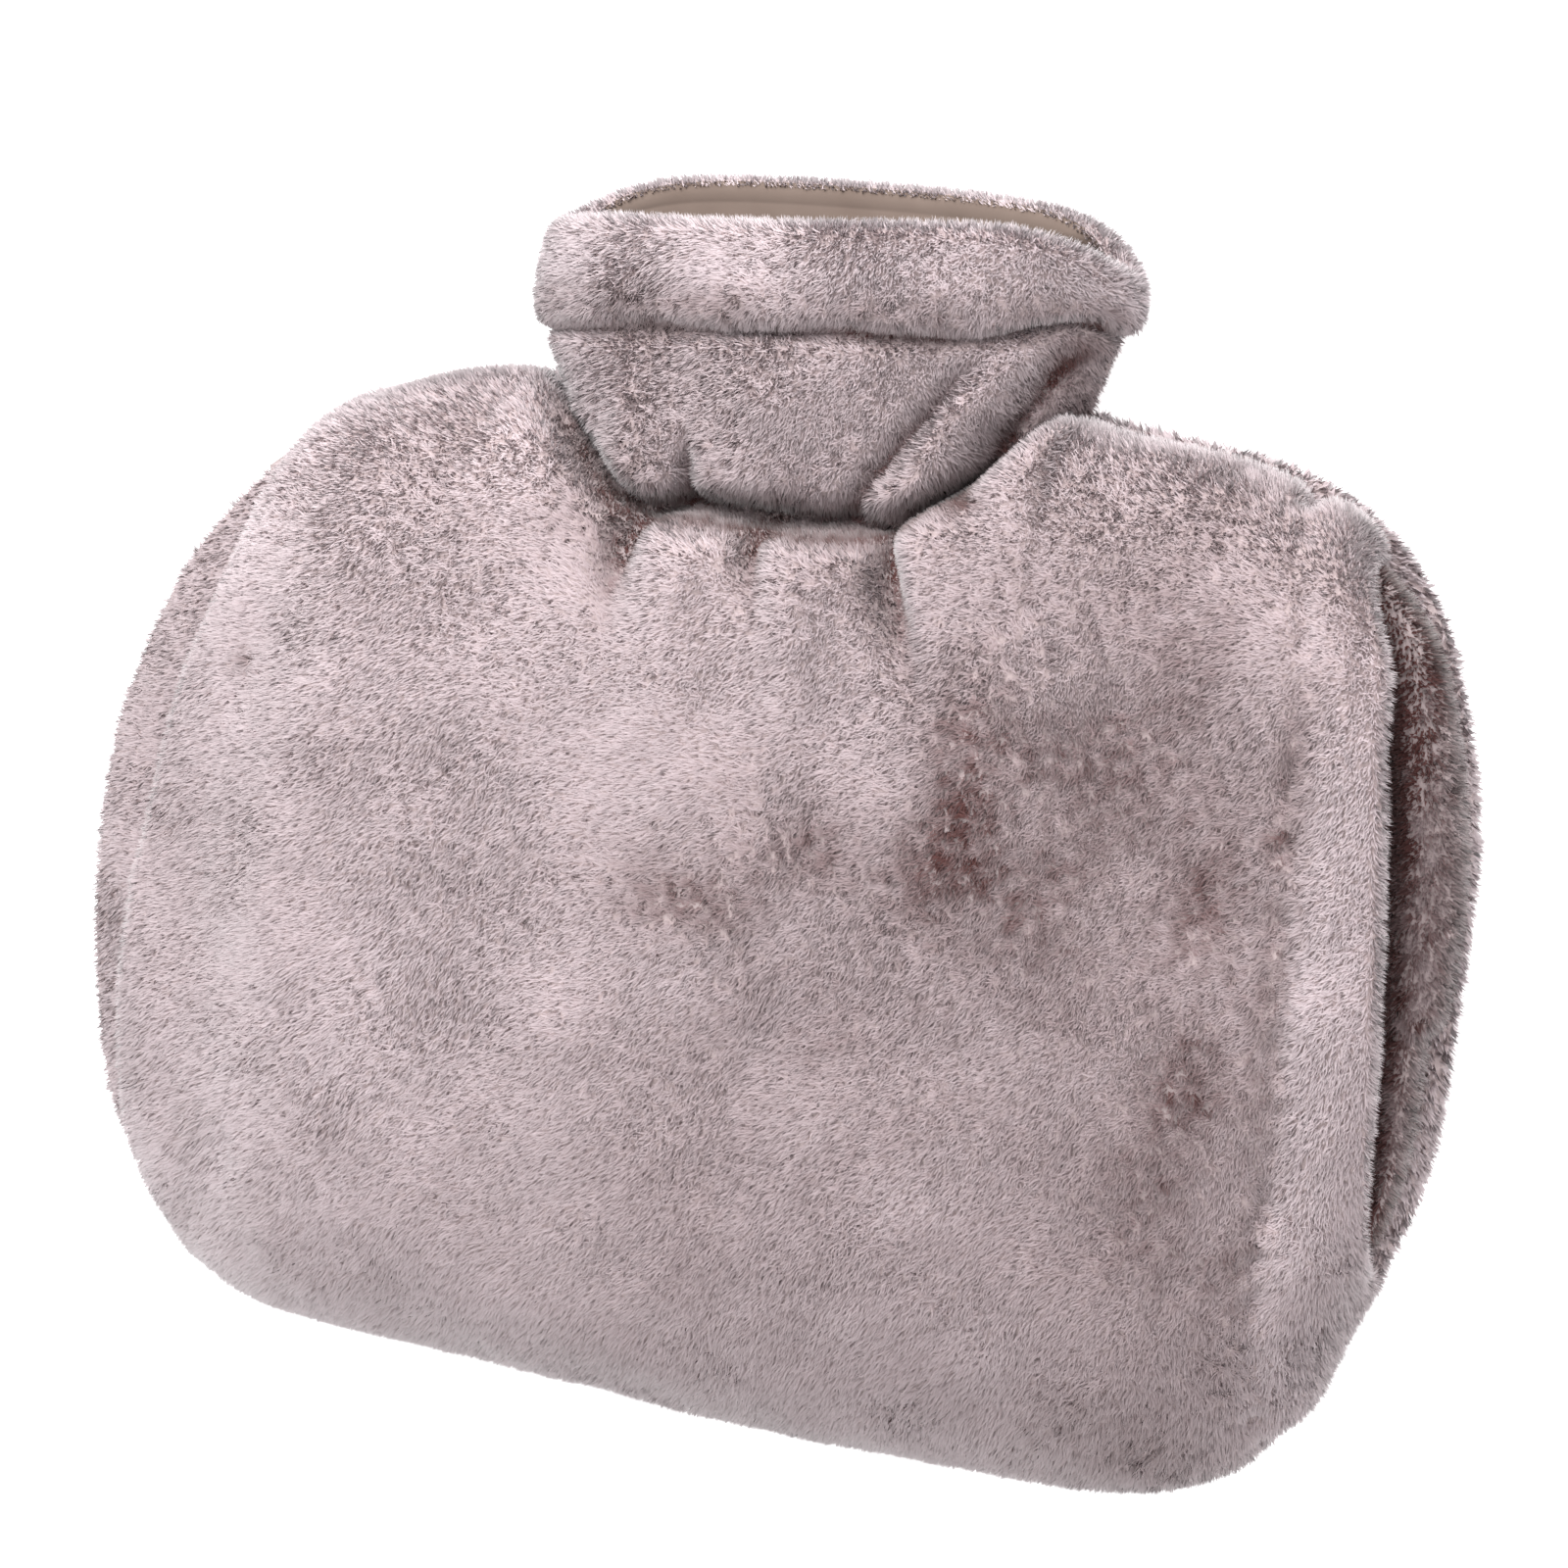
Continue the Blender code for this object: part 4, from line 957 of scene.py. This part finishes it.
def collarCreases(plain, height, rows):
    # 1 along the creases between the folds and along the collar's foot, for the pile's painted shade
    x = plain[..., 0] - neck["x"]
    front = plain[..., 2] > body["seamHeight"]
    toStitch = np.clip(height / collar["hemStart"], 0.0, 1.0)[:, None]
    dark = bump(height[:, None] / collar["footHeight"]) * front
    for low, high, width, tall, end in collarFolds:
        off = (x - low - (high - low) * toStitch) / (collar["creaseNarrow"] * width)
        dark = dark + (tall < 0.0) * bump(off) * runOut(toStitch, end) * front
    return np.pad(np.clip(dark, 0.0, 1.0), ((0, rows - len(height)), (0, 0)))


def ringNormals(points):
    # cross product of the ring's two directions, which runs on past its last column
    along = np.gradient(points, axis=0)
    across = np.roll(points, -1, 1) - np.roll(points, 1, 1)
    return unit(np.cross(across, along))


def turnInside(points, normals):
    # the rim goes round a half circle, then down inside along the ring drawn in towards its own middle line
    # by twice the circle's radius
    turn, count, turned = halfTurn(points, normals, collar["roll"], collar["turnDown"], 2)
    settle = 1.0 + collar["turnSlant"] * np.linspace(0.0, 1.0, count)[:, None, None]
    under = points[-2:-2 - count:-1] + (turn[-1] - points[-1]) * settle
    return np.concatenate([points, turn, under]), turned


def collarPile(plain, whole, normals, turned, height):
    # the pile's fields: the lower part of the hem and the foot of the folds are ruffled, with painted shade
    # and light
    x = whole[..., 0]
    full = np.concatenate([height, np.ones(len(whole) - len(height))])[:, None] + 0.0 * x
    wander = np.stack([waves(whole, collar["wanderSize"], seed) for seed in (63, 64)] + [0.0 * x], -1)
    lean = squareTo(np.array([0.0, -1.0, 0.0]) + collar["wander"] * wander, normals)
    rough = np.clip(1.0 + collar["roughDepth"] * waves(whole, collar["roughSize"], 72), 0.2, 1.8)
    fromHem = full - collar["hemStart"]
    band, foot = hump(fromHem, collar["band"]), hump(full, collar["foldFoot"])
    ruffled = np.clip((collar["bandRuffled"] * band + collar["footRuffled"] * foot) * rough, 0.0, 1.0)
    dark = (collar["bandShade"] * band + collar["footDark"] * foot) * rough
    # painted shade along the stitch line, in the creases and on the right side below the hem
    dark = dark + collar["stitchShade"] * bump(fromHem / collar["stitchLine"]) * rough
    dark = dark + collar["creaseShade"] * collarCreases(plain, height, len(whole))
    shaded = ramp(x - neck["x"], collar["side"]) * smooth(-fromHem / collar["sideEnd"])
    dark = dark + collar["sideShade"] * shaded - collar["paler"]
    # painted light on the hem's top, which faces the lamp
    dark = dark - collar["hemPaintedLight"] * ramp(full, collar["hemPale"])
    length = collar["pileLength"] * (1.0 - collar["stitchTrim"] * bump(fromHem / collar["stitchWidth"]))
    length = length * (1.0 - collar["rimTrim"] * ramp(turned, collar["rim"])[:, None])
    density = np.where(turned < collar["pileEnd"], 1.0, 0.0)[:, None] * np.ones_like(x)
    return {"points": whole, "normals": normals, "lean": lean, "length": length, "density": density,
            "dark": np.minimum(dark, 1.0), "ruffled": ruffled}


def makeCollar():
    # one ring round the mouth, the front from -1 to 1 and the back from 1 to -1, cut apart at the side seams
    rows, frontColumns = collar["rows"], collar["frontColumns"]
    height = 0.5 - 0.5 * np.cos(np.linspace(0.0, 1.0, rows) * np.pi)
    height = 0.5 * height + 0.5 * np.linspace(0.0, 1.0, rows)
    frontPlace = np.sin(np.linspace(-0.5, 0.5, frontColumns) * np.pi)
    backPlace = np.sin(np.linspace(0.5, -0.5, collar["backColumns"]) * np.pi)[1:-1]
    places = ((True, frontPlace), (False, backPlace))
    plain = np.concatenate([collarHalf(front, *np.meshgrid(place, height)) for front, place in places], 1)
    points = hang(plain)
    relief = sum(tall * waves(points, size, seed) for tall, size, seed in collar["relief"])
    relief = relief * (1.0 - ramp(height[:, None], collar["reliefEnd"]))
    points, face = layDown(points, ringNormals(points), relief, ringNormals, True)
    whole, turned = turnInside(points, face)
    normals = ringNormals(whole)
    normals[:rows] = face
    fields = collarPile(plain, whole, normals, turned, height)
    cut = ((0, frontColumns, "collarFront", collar["frontBlades"]),
           (frontColumns - 1, whole.shape[1] + 1, "collarBack", collar["backBlades"]))
    made = []
    for start, end, name, count in cut:
        columns = np.arange(start, end) % whole.shape[1]
        sheet = makeSheet(name, whole[:, columns], 1.0, turned)
        grid = {key: value[:, columns] for key, value in fields.items()}
        grid["lift"] = collar["pileLift"]
        pile = {"seed": 11 + start, "count": count, "width": collar["bladeWidth"]}
        made.append((sheet, [growPile(name + "Pile", grid, pile)]))
    return made


sheet, piles = makeMuff()
dress("muff panel", sheet, piles, "muff_panel")
sheet, piles = makeInner()
dress("inner panel", sheet, piles, "inner_panel")
sheet, piles = makeBack()
dress("back panel", sheet, piles, "back_panel")
(frontSheet, frontPile), (backSheet, backPile) = makeCollar()
dress("collar front", frontSheet, frontPile, "collar_front")
dress("collar back", backSheet, backPile, "collar_back")

white = (1.0, 1.0, 1.0, 1.0)
studio = {
    "floorSize": 4.0, "floorLevel": -0.3, "floorColour": "#f4f4f4", "floorGlow": 0.75, "floorRoughness": 0.9,
    "worldLight": 0.88, "keyPower": 28.5, "keySize": 1.3,
    "keyPlace": (-0.35, 1.1, 1.15), "keyTarget": (0.0, 0.0, 0.03),
}
lens = {
    "yaw": 22.0, "rise": 9.0, "roll": 5.3, "distance": 0.7, "target": (0.00946, 0.00593, 0.030),
    "focalPixels": 3665.0, "imagePixels": 1600.0,
}


def makeFloor():
    # matt white acrylic, lit a little from below as on a product table
    half = studio["floorSize"] / 2.0 / mm
    points = np.array([[-half, -half, 0.0], [half, -half, 0.0], [half, half, 0.0], [-half, half, 0.0]])
    points[:, 2] = studio["floorLevel"]
    floor = makeMesh("floor", points, np.array([[0, 1, 2, 3]]), smoothShade=False)
    material, tree = newMaterial("litAcrylic")
    look = {"Base Color": hexLinear(studio["floorColour"]), "Roughness": studio["floorRoughness"],
            "Emission Color": white, "Emission Strength": studio["floorGlow"]}
    shader = addNode(tree, "ShaderNodeBsdfPrincipled", look)
    addNode(tree, "ShaderNodeOutputMaterial", links={"Surface": shader.outputs[0]})
    floor.data.materials.append(material)


def makeWorld():
    # the same soft light from all round
    world = bpy.data.worlds.new("softRoom")
    world.use_nodes = True
    sky = world.node_tree.nodes["Background"]
    sky.inputs["Color"].default_value = white
    sky.inputs["Strength"].default_value = studio["worldLight"]
    bpy.context.scene.world = world


def makeLight(name, power, size, place, target):
    # a square lamp at `place` that faces `target`
    light = bpy.data.lights.new(name, "AREA")
    light.energy = power
    light.size = size
    holder = bpy.data.objects.new(name, light)
    holder.location = place
    holder.rotation_euler = (Vector(target) - Vector(place)).to_track_quat("-Z", "Y").to_euler()
    bpy.context.scene.collection.objects.link(holder)


def makeCamera():
    # the camera looks from `distance` along the direction of yaw and rise, turned by roll about its axis
    yaw, rise, roll = np.radians([lens["yaw"], lens["rise"], lens["roll"]])
    toward = np.array([np.sin(yaw) * np.cos(rise), np.sin(rise), np.cos(yaw) * np.cos(rise)])
    right = unit(np.cross([0.0, 1.0, 0.0], toward))
    up = np.cross(toward, right)
    axes = (right * np.cos(roll) + up * np.sin(roll), up * np.cos(roll) - right * np.sin(roll), toward)
    place = np.array(lens["target"]) + toward * lens["distance"]
    data = bpy.data.cameras.new("camera")
    data.lens = lens["focalPixels"] / lens["imagePixels"] * data.sensor_width
    camera = bpy.data.objects.new("camera", data)
    matrix = Matrix.Identity(4)
    for k in range(3):
        matrix[0][k], matrix[1][k], matrix[2][k] = (float(c) for c in axes[k])
        matrix[k][3] = float(place[k])
    camera.matrix_world = matrix
    bpy.context.scene.collection.objects.link(camera)
    bpy.context.scene.camera = camera


makeFloor()
makeWorld()
makeLight("key", studio["keyPower"], studio["keySize"], studio["keyPlace"], studio["keyTarget"])
makeCamera()
bpy.context.scene.view_settings.view_transform = "Standard"
print("studio made")
